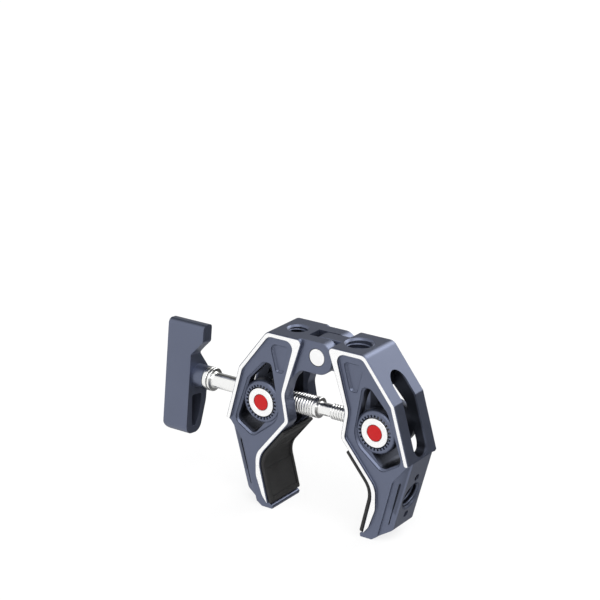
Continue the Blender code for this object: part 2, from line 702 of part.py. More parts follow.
def barrel_nut(name, side, thread_radius, parts, cutters, material):
    """A cylinder nut that turns in the bosses and is bored across for the spindle."""
    half = NUT_LENGTH / 2
    body = drum(name, NUT_RADIUS, (side * TRUNNION_X, -half, TRUNNION_Z), (side * TRUNNION_X, half, TRUNNION_Z), parts)
    reach = NUT_RADIUS * 2
    bore = drum(f"thread_bore_{side}", thread_radius + RUNNING_GAP, (side * TRUNNION_X - reach, 0, TRUNNION_Z),
                (side * TRUNNION_X + reach, 0, TRUNNION_Z), cutters)
    combine(body, bore, "DIFFERENCE")
    set_origin(body, (side * TRUNNION_X, 0, TRUNNION_Z))
    dress(body, material)


def end_ring(name, side, face, parts, material):
    """A bright ring pressed into a boss over the nut's end, with a pocket for its cap."""
    outer = RING_WIDTH_OVER / 2
    inner = NUT_LENGTH / 2 + RUNNING_GAP
    thickness = outer - inner
    pocket = CAP_RADIUS + SEAT_GAP
    chamfer = TURNED_CHAMFER / 2
    profile = [
        (0, -CAP_DEPTH - SEAT_GAP), (pocket, -CAP_DEPTH - SEAT_GAP), (pocket, 0),
        (NUT_RADIUS - chamfer, 0), (NUT_RADIUS, -chamfer), (NUT_RADIUS, -thickness), (0, -thickness),
    ]
    ring = turned_solid(name, profile, (side * TRUNNION_X, face * outer, TRUNNION_Z),
                        (-face * math.pi / 2, 0, 0), parts)
    dress(ring, material)


def end_cap(name, side, face, parts, material):
    """The red cap in the middle of an end ring."""
    outer = RING_WIDTH_OVER / 2
    chamfer = TURNED_CHAMFER / 3
    profile = [(0, 0), (CAP_RADIUS - chamfer, 0), (CAP_RADIUS, -chamfer), (CAP_RADIUS, -CAP_DEPTH), (0, -CAP_DEPTH)]
    cap = turned_solid(name, profile, (side * TRUNNION_X, face * outer, TRUNNION_Z),
                       (-face * math.pi / 2, 0, 0), parts, segments=HOLE_SEGMENTS)
    dress(cap, material)


def hinge_pin(parts, material):
    """The pin through the ears and the knuckle, flush with the ears."""
    half = EAR_OUTER_WIDTH / 2
    chamfer = TURNED_CHAMFER / 2
    profile = [(0, half), (HINGE_PIN_RADIUS - chamfer, half), (HINGE_PIN_RADIUS, half - chamfer),
               (HINGE_PIN_RADIUS, -half + chamfer), (HINGE_PIN_RADIUS - chamfer, -half), (0, -half)]
    pin = turned_solid("hinge_pin", profile, (0, 0, HINGE_Z), (math.pi / 2, 0, 0), parts)
    dress(pin, material)


def spindle(parts, cutters, material):
    """The spindle: tenon, collar, neck, large thread, waist and small thread, turned in one."""
    chamfer = TURNED_CHAMFER
    collar_start = HANDLE_HUB_X + WASHER_THICKNESS + RUNNING_GAP + SEAT_GAP
    steps = [
        (0, SMALL_THREAD_END_X), (SMALL_THREAD_RADIUS - chamfer, SMALL_THREAD_END_X),
        (SMALL_THREAD_RADIUS, SMALL_THREAD_END_X - chamfer), (SMALL_THREAD_RADIUS, SMALL_THREAD_START_X + chamfer),
        (WAIST_SHAFT_RADIUS, SMALL_THREAD_START_X), (WAIST_SHAFT_RADIUS, LARGE_THREAD_END_X + SHOULDER_LENGTH),
        (LARGE_THREAD_RADIUS - chamfer, LARGE_THREAD_END_X + SHOULDER_LENGTH),
        (LARGE_THREAD_RADIUS, LARGE_THREAD_END_X), (LARGE_THREAD_RADIUS, LARGE_THREAD_START_X + chamfer),
        (NECK_RADIUS, LARGE_THREAD_START_X - chamfer), (NECK_RADIUS, COLLAR_END_X),
        (COLLAR_RADIUS - chamfer, COLLAR_END_X), (COLLAR_RADIUS, COLLAR_END_X - chamfer),
        (COLLAR_RADIUS, collar_start + chamfer), (COLLAR_RADIUS - chamfer, collar_start),
        (TENON_RADIUS, collar_start), (TENON_RADIUS, TENON_END_X + chamfer),
        (TENON_RADIUS - chamfer, TENON_END_X), (0, TENON_END_X),
    ]
    body = turned_solid("spindle", steps, (0, 0, TRUNNION_Z), (0, math.pi / 2, 0), parts)
    screw_end = HANDLE_OUTER_X + SCREW_LENGTH + RUNNING_GAP
    socket = drum("screw_bore", SCREW_RADIUS + SEAT_GAP, (TENON_END_X - chamfer, 0, TRUNNION_Z),
                  (screw_end, 0, TRUNNION_Z), cutters, segments=HOLE_SEGMENTS)
    combine(body, socket, "DIFFERENCE")
    dress(body, material)


def thrust_washer(parts, material):
    """The loose washer between the spindle's collar and the handle's hub."""
    bore = TENON_RADIUS + RUNNING_GAP
    chamfer = TURNED_CHAMFER / 2
    half = WASHER_THICKNESS / 2
    profile = [(bore, half), (COLLAR_RADIUS - chamfer, half), (COLLAR_RADIUS, half - chamfer),
               (COLLAR_RADIUS, -half + chamfer), (COLLAR_RADIUS - chamfer, -half), (bore, -half)]
    middle = HANDLE_HUB_X + SEAT_GAP + half
    washer = turned_solid("thrust_washer", profile, (middle, 0, TRUNNION_Z), (0, math.pi / 2, 0), parts,
                          hollow=True)
    dress(washer, material)


def handle(parts, cutters, material):
    """The key-shaped handle: a front outline crossed with a side outline, and a hub."""
    lean = bpy.data.objects.new("handle_lean", None)
    cutters.objects.link(lean)
    lean.location = (0, 0, TRUNNION_Z)
    lean.rotation_euler = (-HANDLE_LEAN, 0, 0)
    front = rounded([
        (HANDLE_OUTER_X, HANDLE_TOP, HANDLE_CORNER), (HANDLE_WING_X, HANDLE_TOP, HANDLE_CORNER),
        (HANDLE_WING_X, HANDLE_WING_FOOT, HANDLE_CORNER), (HANDLE_BODY_X, HANDLE_STEP_FOOT, HANDLE_CORNER),
        (HANDLE_BODY_X, HANDLE_FOOT, HANDLE_CORNER), (HANDLE_OUTER_X, HANDLE_FOOT, HANDLE_CORNER),
    ])
    body = prism("handle", front, -HANDLE_THICKNESS, HANDLE_THICKNESS, parts)
    wing, full = WING_THICKNESS / 2, HANDLE_THICKNESS / 2
    upper = HANDLE_STEP_FOOT / 2
    side = [
        (wing, HANDLE_TOP, HANDLE_CORNER / 2), (wing, HANDLE_WING_FOOT, HANDLE_STEP_FOOT),
        (full, upper, HANDLE_TOP), (full, HANDLE_POCKET_TOP, HANDLE_TOP),
        (full / 2, HANDLE_POCKET_FOOT, HANDLE_STEP_FOOT), (0, HANDLE_FOOT - EDGE_BREAK, HANDLE_CORNER),
    ]
    left = [(-across, along, radius) for across, along, radius in reversed(side[:-1])]
    section = prism("handle_section", rounded(side + left), HANDLE_OUTER_X * 2, 0, cutters)
    section.data.transform(Matrix.Rotation(-math.pi / 2, 4, "Z"))
    combine(body, section, "INTERSECT")
    hub = drum("handle_hub", COLLAR_RADIUS, (HANDLE_BODY_X - full, 0, 0), (HANDLE_HUB_X, 0, 0), cutters)
    combine(body, hub, "UNION")
    top_half, foot_half = HANDLE_POCKET_WIDTH / 2, HANDLE_POCKET_WIDTH / 6
    hollow_outline = rounded([
        (-top_half, HANDLE_POCKET_TOP, HANDLE_CORNER / 2), (top_half, HANDLE_POCKET_TOP, HANDLE_CORNER / 2),
        (foot_half, HANDLE_POCKET_FOOT, HANDLE_CORNER / 2), (-foot_half, HANDLE_POCKET_FOOT, HANDLE_CORNER / 2),
    ])
    hollow = prism("handle_pocket", hollow_outline, HANDLE_BODY_X - HANDLE_POCKET_DEPTH, 0, cutters)
    hollow.data.transform(Matrix.Rotation(-math.pi / 2, 4, "Z"))
    combine(body, hollow, "DIFFERENCE")
    bore = drum("tenon_bore", TENON_RADIUS + SEAT_GAP, (TENON_END_X - SEAT_GAP, 0, 0), (0, 0, 0), cutters)
    combine(body, bore, "DIFFERENCE")
    through = drum("screw_hole", SCREW_RADIUS + SEAT_GAP, (HANDLE_OUTER_X * 2, 0, 0), (TENON_END_X, 0, 0),
                   cutters, segments=HOLE_SEGMENTS)
    combine(body, through, "DIFFERENCE")
    head_seat = HANDLE_OUTER_X + SCREW_HEAD_THICKNESS + SEAT_GAP * 2
    recess = drum("screw_recess", SCREW_HEAD_RADIUS + SEAT_GAP, (HANDLE_OUTER_X * 2, 0, 0), (head_seat, 0, 0),
                  cutters, segments=HOLE_SEGMENTS)
    combine(body, recess, "DIFFERENCE")
    for thing in (body, section, hub, hollow, bore, through, recess):
        thing.parent = lean
    dress(body, material)


def handle_screw(parts, cutters, material):
    """The cap screw that holds the handle on the spindle's tenon."""
    head = HANDLE_OUTER_X + SEAT_GAP
    under = head + SCREW_HEAD_THICKNESS
    tip = head + SCREW_LENGTH
    chamfer = TURNED_CHAMFER / 2
    profile = [
        (0, tip), (SCREW_RADIUS - chamfer, tip), (SCREW_RADIUS, tip - chamfer), (SCREW_RADIUS, under),
        (SCREW_HEAD_RADIUS, under), (SCREW_HEAD_RADIUS, head + chamfer), (SCREW_HEAD_RADIUS - chamfer, head),
        (0, head),
    ]
    body = turned_solid("handle_screw", profile, (0, 0, TRUNNION_Z), (0, math.pi / 2, 0), parts,
                        segments=HOLE_SEGMENTS)
    socket = drum("screw_socket", SCREW_SOCKET_RADIUS, (head - chamfer, 0, TRUNNION_Z),
                  (head + SCREW_HEAD_THICKNESS * 0.6, 0, TRUNNION_Z), cutters, segments=6)
    combine(body, socket, "DIFFERENCE")
    dress(body, material)


def main():
    clear_scene()
    parts = new_collection("crab_clamp", False)
    cutters = new_collection("cutters", True)
    navy = finish_material("navy_anodised", NAVY, 0.6, 0.42)
    bright = finish_material("bright_ring", BRIGHT, 1.0, 0.3)
    steel = finish_material("turned_steel", STEEL, 1.0, 0.2)
    red = finish_material("red_anodised", RED, 0.3, 0.4)
    rubber = finish_material("rubber", RUBBER, 0.0, 0.7)
    for name, side, thread in (("left", -1, LARGE_THREAD_RADIUS), ("right", 1, SMALL_THREAD_RADIUS)):
        jaw(f"{name}_jaw", side, parts, cutters, navy)
        pad(f"{name}_pad", side, parts, cutters, rubber)
        barrel_nut(f"{name}_barrel_nut", side, thread, parts, cutters, steel)
        for place, face in (("front", -1), ("back", 1)):
            end_ring(f"{name}_{place}_ring", side, face, parts, bright)
            end_cap(f"{name}_{place}_cap", side, face, parts, red)
    hinge_pin(parts, bright)
    spindle(parts, cutters, steel)
    thrust_washer(parts, steel)
    handle(parts, cutters, navy)
    handle_screw(parts, cutters, steel)
    bpy.context.view_layer.update()


main()
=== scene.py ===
"""Looks of a crab clamp: anodised jaws and key handle, turned spindle, pads, light and camera.

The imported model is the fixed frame. Each operator makes one piece or one group of like pieces
round it, and rides it on the body that carries it. Metres, +Z up, -Y the front.
"""
import json
import math
from collections import namedtuple

import bmesh
import bpy
from bpy.props import FloatProperty, FloatVectorProperty, IntProperty, PointerProperty
from mathutils import Matrix, Vector

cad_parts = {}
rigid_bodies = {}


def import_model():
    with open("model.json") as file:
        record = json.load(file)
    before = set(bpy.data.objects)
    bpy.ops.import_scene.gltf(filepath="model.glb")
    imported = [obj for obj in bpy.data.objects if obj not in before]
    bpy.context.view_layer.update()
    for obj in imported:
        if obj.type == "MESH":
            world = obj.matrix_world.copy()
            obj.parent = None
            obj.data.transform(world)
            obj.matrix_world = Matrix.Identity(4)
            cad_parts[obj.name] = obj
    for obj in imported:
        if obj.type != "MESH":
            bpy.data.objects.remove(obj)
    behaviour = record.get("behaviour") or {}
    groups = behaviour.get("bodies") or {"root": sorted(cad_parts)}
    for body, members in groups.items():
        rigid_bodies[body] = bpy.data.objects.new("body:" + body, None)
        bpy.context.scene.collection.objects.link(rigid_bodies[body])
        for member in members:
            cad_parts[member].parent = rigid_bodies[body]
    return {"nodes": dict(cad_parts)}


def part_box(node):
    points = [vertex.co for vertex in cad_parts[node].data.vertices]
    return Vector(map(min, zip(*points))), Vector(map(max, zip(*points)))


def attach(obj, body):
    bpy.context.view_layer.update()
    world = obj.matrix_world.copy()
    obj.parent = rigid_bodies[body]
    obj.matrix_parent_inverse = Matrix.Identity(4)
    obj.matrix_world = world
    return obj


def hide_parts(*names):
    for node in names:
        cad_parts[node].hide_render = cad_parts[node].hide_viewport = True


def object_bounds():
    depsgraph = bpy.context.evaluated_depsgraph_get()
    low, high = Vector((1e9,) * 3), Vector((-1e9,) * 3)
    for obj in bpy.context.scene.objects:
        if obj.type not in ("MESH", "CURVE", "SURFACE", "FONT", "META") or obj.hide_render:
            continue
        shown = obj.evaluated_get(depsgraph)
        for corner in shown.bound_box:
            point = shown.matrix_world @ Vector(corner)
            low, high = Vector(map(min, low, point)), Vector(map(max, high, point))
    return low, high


bl_info = {
    "name": "Crab Clamp Looks",
    "version": (1, 0, 0),
    "blender": (4, 5, 0),
    "location": "View3D > Sidebar > Clamp",
    "description": "Finishes, threads, pads, light and camera for a crab clamp",
    "category": "Object",
}

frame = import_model()
CAD_LOW, CAD_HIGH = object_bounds()
MM = 0.001
SIDES = (("left", -1), ("right", 1))
FACES = (("front", -1), ("back", 1))
Spot = namedtuple("Spot", "x z")


def spot(x, z):
    """A point in XZ, given in millimetres."""
    return Spot(x * MM, z * MM)


def table(*rows):
    """Corners of an outline, given in millimetres as two places and a radius."""
    return [tuple(value * MM for value in row) for row in rows]


# Places that the frame gives
JAW_HALF_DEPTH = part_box("right_jaw")[1].y
SPINDLE_LOW, SPINDLE_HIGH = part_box("spindle")
SPINDLE_Z = (SPINDLE_LOW.z + SPINDLE_HIGH.z) / 2
NUT_LOW, NUT_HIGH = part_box("right_barrel_nut")
TRUNNION_X = (NUT_LOW.x + NUT_HIGH.x) / 2
RING_LOW, RING_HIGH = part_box("right_back_ring")
RING_RADIUS = (RING_HIGH.x - RING_LOW.x) / 2
CAP_LOW, CAP_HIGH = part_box("right_back_cap")
CAP_RADIUS = (CAP_HIGH.x - CAP_LOW.x) / 2
CAP_DEPTH = CAP_HIGH.y - CAP_LOW.y
TOE_Z = CAD_LOW.z

# Turned steps of the spindle, and its threads
COLLAR_START_X, COLLAR_END_X = -46.25 * MM, -45.35 * MM
TENON_RADIUS, COLLAR_RADIUS, NECK_RADIUS = 2.0 * MM, 3.95 * MM, 2.6 * MM
LARGE_THREAD_RADIUS, SMALL_THREAD_RADIUS, WAIST_SHAFT_RADIUS = 3.45 * MM, 2.5 * MM, 2.1 * MM
LARGE_START_X, LARGE_END_X, SMALL_START_X = -31.5 * MM, -4.9 * MM, 0.6 * MM
SHOULDER_LENGTH, TURNED_CHAMFER = 1.7 * MM, 0.4 * MM
TOOTH_SHARE, SMALL_TOOTH_SHARE = 0.5, 0.9
WASHER_CLEARANCE = 0.3 * MM

# Rings and caps, and how far the edges of turned pieces are rounded, some with more steps
RING_GAP, RING_FLOOR, CAP_CROWN = 0.13 * MM, 0.1 * MM, 0.06 * MM
RING_ROUND, CAP_ROUND, PIN_ROUND = (0.32 * MM, 5), (0.18 * MM, 4), (0.22 * MM, 4)
SPINDLE_ROUND, WASHER_ROUND = 0.3 * MM, 0.2 * MM

# Screw holes, a large one in the +X jaw and a small one in the other, in the top and in the side:
# place of the top one, radius and pitch
SCREW_HOLES = {1: (11.2 * MM, 4.2 * MM, 25.4 / 16 * MM), -1: (-12.0 * MM, 3.0 * MM, 25.4 / 20 * MM)}
SIDE_HOLE_AXIS, SIDE_HOLE = Vector((0.9630, 0, -0.2695)), spot(30.86, -46.43)
SIDE_HOLE_PLACE = 0.565
TOP_HOLE_DEPTH, SIDE_HOLE_DEPTH, HOLE_THREAD_DEPTH = 6.4 * MM, 6.0 * MM, 5.0 * MM
HOLE_CHAMFER, HOLE_RIDGE_SHARE = 0.7 * MM, 0.42
LOCATING_HOLE_RADIUS, LOCATING_HOLE_SPACING, LOCATING_HOLE_DEPTH = 1.2 * MM, 6.95 * MM, 4.0 * MM

# Clearances
RUNNING_GAP = 0.30 * MM
SEAT_GAP = 0.15 * MM
WELD_DISTANCE = 0.001 * MM

# Jaw outline on the +X side, clockwise from its top inner corner; the other jaw mirrors it
JAW_DEPTH = 2 * JAW_HALF_DEPTH
TOP_INNER, TOP_OUTER = spot(4.6, 0), spot(18.4, 0)
SHOULDER, ELBOW = spot(29.4, -14.1), spot(34.7, -32.7)
HEEL, TOE_BACK = spot(27.9, -57.0), spot(23.4, -59.7)
TOE_FLAT_X, TOE_TIP_X = 21.2 * MM, 17.1 * MM
PAD_FOOT, BITE = spot(18.25, -59.4), spot(22.05, -44.1)
KNEE, WAIST = spot(9.74, -29.1), spot(11.3, -19.9)
TOP_CORNER_RADIUS, SHOULDER_RADIUS, SMALL_RADIUS = 2.8 * MM, 1.2 * MM, 0.6 * MM
TOP_INNER_RADIUS = HEEL_RADIUS = 1.5 * MM
BITE_RADIUS, KNEE_RADIUS, WAIST_RADIUS = 8.0 * MM, 2.5 * MM, 5.0 * MM
EDGE_BREAK = 0.2 * MM
JAW_CORNERS = [
    (*TOP_INNER, TOP_INNER_RADIUS), (*TOP_OUTER, TOP_CORNER_RADIUS), (*SHOULDER, SHOULDER_RADIUS),
    (*ELBOW, SMALL_RADIUS), (*HEEL, HEEL_RADIUS), (*TOE_BACK, HEEL_RADIUS),
    (TOE_FLAT_X, TOE_Z, SMALL_RADIUS), (TOE_TIP_X, TOE_Z, 0),
    (TOE_TIP_X - SMALL_RADIUS / 2, PAD_FOOT.z - SMALL_RADIUS, 0), (*PAD_FOOT, 0),
    (*BITE, BITE_RADIUS), (*KNEE, KNEE_RADIUS), (*WAIST, WAIST_RADIUS),
]

# Raised rim round each face of a jaw, and the panel that it frames
RIM_HEIGHT, RIM_WIDTH, RIM_CORNER_WIDTH, RIM_ROUND = 0.9 * MM, 1.4 * MM, 2.5 * MM, 0.5 * MM
RIM_END_Z, RIM_BITE_X, RIM_TAPER_Z = -33.0 * MM, 22.9 * MM, -50.3 * MM
RIM_TOE, RIM_TOE_RADIUS = spot(20.5, -56.9), 4.0 * MM
PANEL_FILLET, PANEL_CORNER_RADIUS = 0.25 * MM, 2.6 * MM

# Shallow pocket near the top of each face
POCKET = table((10.1, -3.9, 1.2), (17.8, -3.9, 2.0), (15.4, -13.3, 0.8), (12.6, -13.3, 1.2))
POCKET_DEPTH, POCKET_SLOPE = 0.9 * MM, 0.55 * MM

# Window through each face, round the trunnion; its flare also goes round the boss
WINDOW = [spot(17.6, -11.2), spot(20.0, -11.2), spot(26.0, -17.6), spot(31.3, -33.0),
          spot(24.6, -37.0)]
WINDOW_INNER, FLARE_INNER = spot(14.7, -25.2), spot(14.4, -29.0)
WINDOW_RADIUS, FLARE_INNER_RADIUS, WINDOW_CHAMFER = 2.2 * MM, 7.5 * MM, 0.55 * MM
WINDOW_FLARE, FLARE_DEPTH = 0.6 * MM, 0.9 * MM

# Lower arm: the flanks step down to a narrow outer face
LOWER_FACE_INSET = 2.9 * MM
RIDGE_TOP, RIDGE_BEND, RIDGE_FOOT = spot(33.1, -33.7), spot(28.35, -39.7), spot(22.9, -60.3)
RIDGE_STEP, FLANK_CUTTER_HEIGHT = 1.0 * MM, 4.25 * MM
GROOVE_LENGTH, GROOVE_WIDTH, GROOVE_DEPTH, GROOVE_PLACE = 15.6 * MM, 0.7 * MM, 0.9 * MM, 0.55

# Hinge
HINGE_Z, HINGE_PIN_RADIUS = -5.06 * MM, 2.8 * MM
KNUCKLE_WIDTH, KNUCKLE_RADIUS, EAR_RADIUS, EAR_INSET = 5.0 * MM, 5.4 * MM, 5.6 * MM, 1.3 * MM
GUSSET_DROP, GUSSET_REACH, LUG_TOP_RADIUS = 4.0 * MM, 3.2 * MM, 4.2 * MM

# Trunnion bosses, and the serrated seat round each nut
BOSS_RADIUS, BOSS_INSET, BOSS_ROUND, BOSS_ROUND_STEPS = 7.3 * MM, 1.35 * MM, 1.4 * MM, 6
BOSS_HALF_WIDTH = (JAW_DEPTH - 2 * BOSS_INSET) / 2
NUT_RADIUS, SERRATIONS = 4.8 * MM, 28
SERRATION_ROOT, SERRATION_HEIGHT, SERRATION_DEPTH = 0.05 * MM, 0.8 * MM, 1.3 * MM

# Slots for the spindle: width, top and foot
INNER_SLOT, INNER_SLOT_REACH = (7.8 * MM, -12.3 * MM, -33.0 * MM), 2.4 * MM
OUTER_SLOT = 7.5 * MM, -6.2 * MM, -32.3 * MM

# Handle: its outline, measured along itself from the spindle, and its section and pocket, whose
# first values go back from its flat front
HANDLE_LEAN, HANDLE_THICKNESS = math.radians(7.1), 9.9 * MM
HANDLE_OUTER_X, HANDLE_BODY_X, HANDLE_HUB_X = -62.3 * MM, -52.4 * MM, -48.25 * MM
HANDLE_OUTLINE = table((-62.3, 18.6, 0), (-47.8, 18.6, 0), (-47.8, 12.9, 1.1), (-52.4, 8.0, 1.1),
                       (-52.4, -19.7, 0), (-62.3, -19.7, 3.0))
HANDLE_SECTION = table((0, 18.6, 1.8), (0, -19.7, 2.8), (7.4, -19.7, 3.5), (9.9, -9.0, 12.0),
                       (9.9, 2.5, 2.0), (4.5, 8.5, 6.0), (4.5, 18.6, 1.1))
HANDLE_POCKET = table((2.1, -6.4, 0.8), (2.9, -17.3, 0.8), (4.9, -17.3, 0.8), (6.7, -13.0, 12.0),
                      (7.2, -6.4, 0.8))
HANDLE_POCKET_DEPTH, HUB_ROOT, TENON_END_X = 5.5 * MM, 4.95 * MM, -58.0 * MM
SCREW_HEAD_RADIUS, SCREW_HEAD_THICKNESS, SCREW_RADIUS = 2.5 * MM, 1.6 * MM, 1.2 * MM
SCREW_ROUND = 0.12 * MM

# Rubber pads
PAD_HEAD, PAD_INSET = spot(12.7, -32.7), 0.3 * MM
PAD_THICKNESS, PAD_CORNER, PAD_FRAME = 1.4 * MM, 0.45 * MM, 1.3 * MM
PAD_HEAD_BAR, PAD_FOOT_BAND = 3.0 * MM, 1.8 * MM
PAD_RECESS, PAD_CUTTER_REACH = 0.5 * MM, 4.2 * MM
RIB_SIDES, RIB_SLANT, RIB_START = 8, math.radians(38), BITE_RADIUS * 0.5

# Segments on curved outlines, and the angle from which an edge stays sharp
ARC_STEP, ARC_SHARE = math.radians(7.5), 0.48
ROUND_SEGMENTS, HOLE_SEGMENTS, THREAD_STEPS = 96, 64, 48
TURNED_SHARP, PAD_SHARP, ROUNDED_FROM = math.radians(28), math.radians(40), math.radians(30)

# Exact quarter turns: an outline's second axis up, and a depth along Y turned along X
UPRIGHT = Matrix(((1, 0, 0, 0), (0, 0, -1, 0), (0, 1, 0, 0), (0, 0, 0, 1)))
ALONG_X = Matrix(((0, 1, 0, 0), (-1, 0, 0, 0), (0, 0, 1, 0), (0, 0, 0, 1)))

# Finishes: scales of grain and clouding, roughness and metallic of turned pieces, lines per metre
BLAST_GRAIN, BLAST_CLOUD, RUBBER_GRAIN, RUBBER_DUST, TURNED_STAIN = 7000, 90, 9000, 250, 400
BRIGHT_TURNED, RED_TURNED, STEEL_TURNED = (0.30, 0.9), (0.34, 0.70), (0.20, 1.0)
TURNING_LINES, STEEL_LINES = 30000, 26000
ANODISED_METALLIC, RUBBER_SPECULAR = 0.86, 0.28

# Anodising: where the bright rim starts, and where and how much painted shade darkens the inside of
# a jaw
RIM_SKIN, RIM_SMOOTHER = 0.04 * MM, 0.12
INSIDE_PAINTED_SHADE, INSIDE_FROM, INSIDE_TO = 0.8, 0.3 * MM, 0.9 * MM
OUTER_DEPTH_FROM, OUTER_DEPTH_TO = 4.6 * MM, 6.9 * MM

# Camera, solved from the photograph's parallel edges
CAMERA_PLACE = Vector((305.8, -451.5, 202.2)) * MM
CAMERA_AZIMUTH, CAMERA_DROP = math.radians(35.088), math.radians(19.251)
CAMERA_LENS, SENSOR_WIDTH, CLIP_START, CLIP_END = 111.98, 36.0, 0.01, 20

# Studio: where a light lies or is kept away, and the cosines between which it fades in
FRONT_LIGHT = (-0.45, -0.85, -0.10), -0.05, 0.45
DARK_FLAG = (-0.40, 0.35, 0.85), 0.80, 0.93
KEY_BOX = (0.22, 0.77, 0.57), 0.84, 0.96
HOT_SPOT = (0.20, 0.77, 0.60), 0.960, 0.990
RIM_BOX = (0.55, -0.27, 0.68), 0.74, 0.92
RIGHT_FADE, LEFT_FADE, UNDER_FADE = (-0.45, 0.45), (-0.10, 0.30), (0.40, 0.68)
FLOOR_REACH, FLOOR_GAP, FLOOR_GREY = 4.0, 0.02 * MM, 0.9


def colour_setting(name, description, *rgb):
    """A colour of the panel."""
    return FloatVectorProperty(name=name, description=description, subtype="COLOR", size=4,
                               min=0, max=1, default=(*rgb, 1))


def length_setting(name, description, default, low=0.0):
    """A length of the panel, given in millimetres."""
    return FloatProperty(name=name, description=description, default=default * MM, min=low * MM,
                         unit="LENGTH")


def level_setting(name, description, default):
    """A light level of the panel."""
    return FloatProperty(name=name, description=description, default=default, min=0)


def share_setting(name, description, default):
    """A share of the panel, from 0 to 1."""
    return FloatProperty(name=name, description=description, default=default, min=0, max=1,
                         subtype="FACTOR")


class ClampColours(bpy.types.PropertyGroup):
    """Colours of the clamp's finishes."""

    navy: colour_setting("Navy", "Satin anodising of the jaws and the handle", 0.118, 0.134, 0.190)
    bright: colour_setting("Bright edge", "Machined rims, rings and pin ends", 0.88, 0.88, 0.88)
    steel: colour_setting("Steel", "Spindle, washer, nuts and screw", 0.86, 0.86, 0.85)
    red: colour_setting("Red", "Caps in the middle of the rings", 0.52, 0.014, 0.016)
    rubber: colour_setting("Rubber", "Pads on the jaws", 0.0165, 0.0165, 0.017)


class ClampSizes(bpy.types.PropertyGroup):
    """Sizes of the fine detail."""

    edge_round: length_setting("Edge round", "Width of the broken edges on the jaws", 0.09)
    handle_round: length_setting("Handle round", "Width of the rounded edges on the handle", 0.45)
    spindle_pitch: length_setting(
        "Spindle pitch", "Advance of each spindle thread in one turn", 1.0, 0.2)
    rib_pitch: length_setting("Rib pitch", "Distance between the ribs on a pad", 0.62, 0.2)
    rib_radius: length_setting("Rib radius", "Half the width of a rib on a pad", 0.24, 0.02)
    round_steps: IntProperty(
        name="Round steps", description="Facets round a turned piece", default=96, min=12, max=256)


class StageLevels(bpy.types.PropertyGroup):
    """Levels of the studio."""

    front_level: level_setting("Front", "Light from the front", 1.08)
    left_level: level_setting("Left", "Light from behind on the left", 0.43)
    right_level: level_setting("Right", "Light from behind on the right", 0.08)
    under_level: level_setting("Under", "Light that comes back off the table behind", 0.52)
    key_level: level_setting("Key", "Extra light of the soft box high behind", 2.6)
    hot_level: level_setting("Hot spot", "Extra light in the middle of that soft box", 1.9)
    rim_level: level_setting("Rim", "Extra light of the soft box high on the right", 2.8)
    flag_share: share_setting(
        "Flag", "Share of the light that the dark flag overhead takes away", 0.86)
    floor_glow: share_setting("Floor glow", "Share of the floor that is plain white", 0.80)


class ClampLook(bpy.types.PropertyGroup):
    """All settings of the clamp's looks."""

    colours: PointerProperty(type=ClampColours)
    sizes: PointerProperty(type=ClampSizes)
    stage: PointerProperty(type=StageLevels)


def arithmetic(operation):
    """A method that sends a wire and a second value through a Math node."""
    return lambda self, other: self.bench.maths(operation, self, other)


class Wire:
    """A value on its way through a node tree, with arithmetic."""

    def __init__(self, bench, socket):
        self.bench = bench
        self.socket = socket

    __add__ = __radd__ = arithmetic("ADD")
    __sub__ = arithmetic("SUBTRACT")
    __mul__ = __rmul__ = arithmetic("MULTIPLY")
    __pow__ = arithmetic("POWER")
    __gt__ = arithmetic("GREATER_THAN")

    def __rsub__(self, other):
        return self.bench.maths("SUBTRACT", other, self)

    def __abs__(self):
        return self.bench.maths("ABSOLUTE", self)

    def sine(self):
        return self.bench.maths("SINE", self)

    def ramp(self, low, high):
        """Climb smoothly from 0 at low to 1 at high."""
        return self.bench.make("ShaderNodeMapRange", {"interpolation_type": "SMOOTHSTEP"},
                               {"Value": self, "From Min": low, "From Max": high})


class Bench:
    """Adds nodes to a tree and hands back wires."""

    def __init__(self, tree):
        self.tree = tree

    def make(self, kind, settings=None, inputs=None, output=0):
        node = self.tree.nodes.new(kind)
        for name, value in (settings or {}).items():
            setattr(node, name, value)
        self.feed(node, inputs or {})
        return Wire(self, node.outputs[output])

    def feed(self, node, inputs):
        """Link or set some inputs of a node."""
        for name, value in inputs.items():
            if isinstance(value, Wire):
                self.tree.links.new(value.socket, node.inputs[name])
            else:
                node.inputs[name].default_value = value

    def maths(self, operation, first, second=0.0):
        return self.make("ShaderNodeMath", {"operation": operation}, {0: first, 1: second})

    def blend(self, share, first, second, kind="MIX"):
        """Mix two colours."""
        return self.make("ShaderNodeMix", {"data_type": "RGBA", "blend_type": kind},
                         {0: share, 6: first, 7: second}, 2)

    def shade(self, colour, level):
        """Scale a colour by a level."""
        grey = self.make("ShaderNodeCombineColor", {}, {0: level, 1: level, 2: level})
        return self.blend(1.0, colour, grey, "MULTIPLY")

    def places(self, kind="Object"):
        """Coordinates, whole and split."""
        whole = self.make("ShaderNodeTexCoord", output=kind)
        split = self.tree.nodes.new("ShaderNodeSeparateXYZ")
        self.feed(split, {0: whole})
        return whole, [Wire(self, out) for out in split.outputs]

    def noise(self, vector, scale, detail=2.0):
        return self.make("ShaderNodeTexNoise", {},
                         {"Vector": vector, "Scale": scale, "Detail": detail}, "Fac")

    def bump(self, height, distance, strength):
        return self.make("ShaderNodeBump", {},
                         {"Height": height, "Distance": distance, "Strength": strength}, "Normal")


def new_finish(name):
    """Start a material and return it with its bench and its shader."""
    material = bpy.data.materials.new(name)
    material.use_nodes = True
    return material, Bench(material.node_tree), material.node_tree.nodes["Principled BSDF"]


def look():
    return bpy.context.scene.crab_clamp


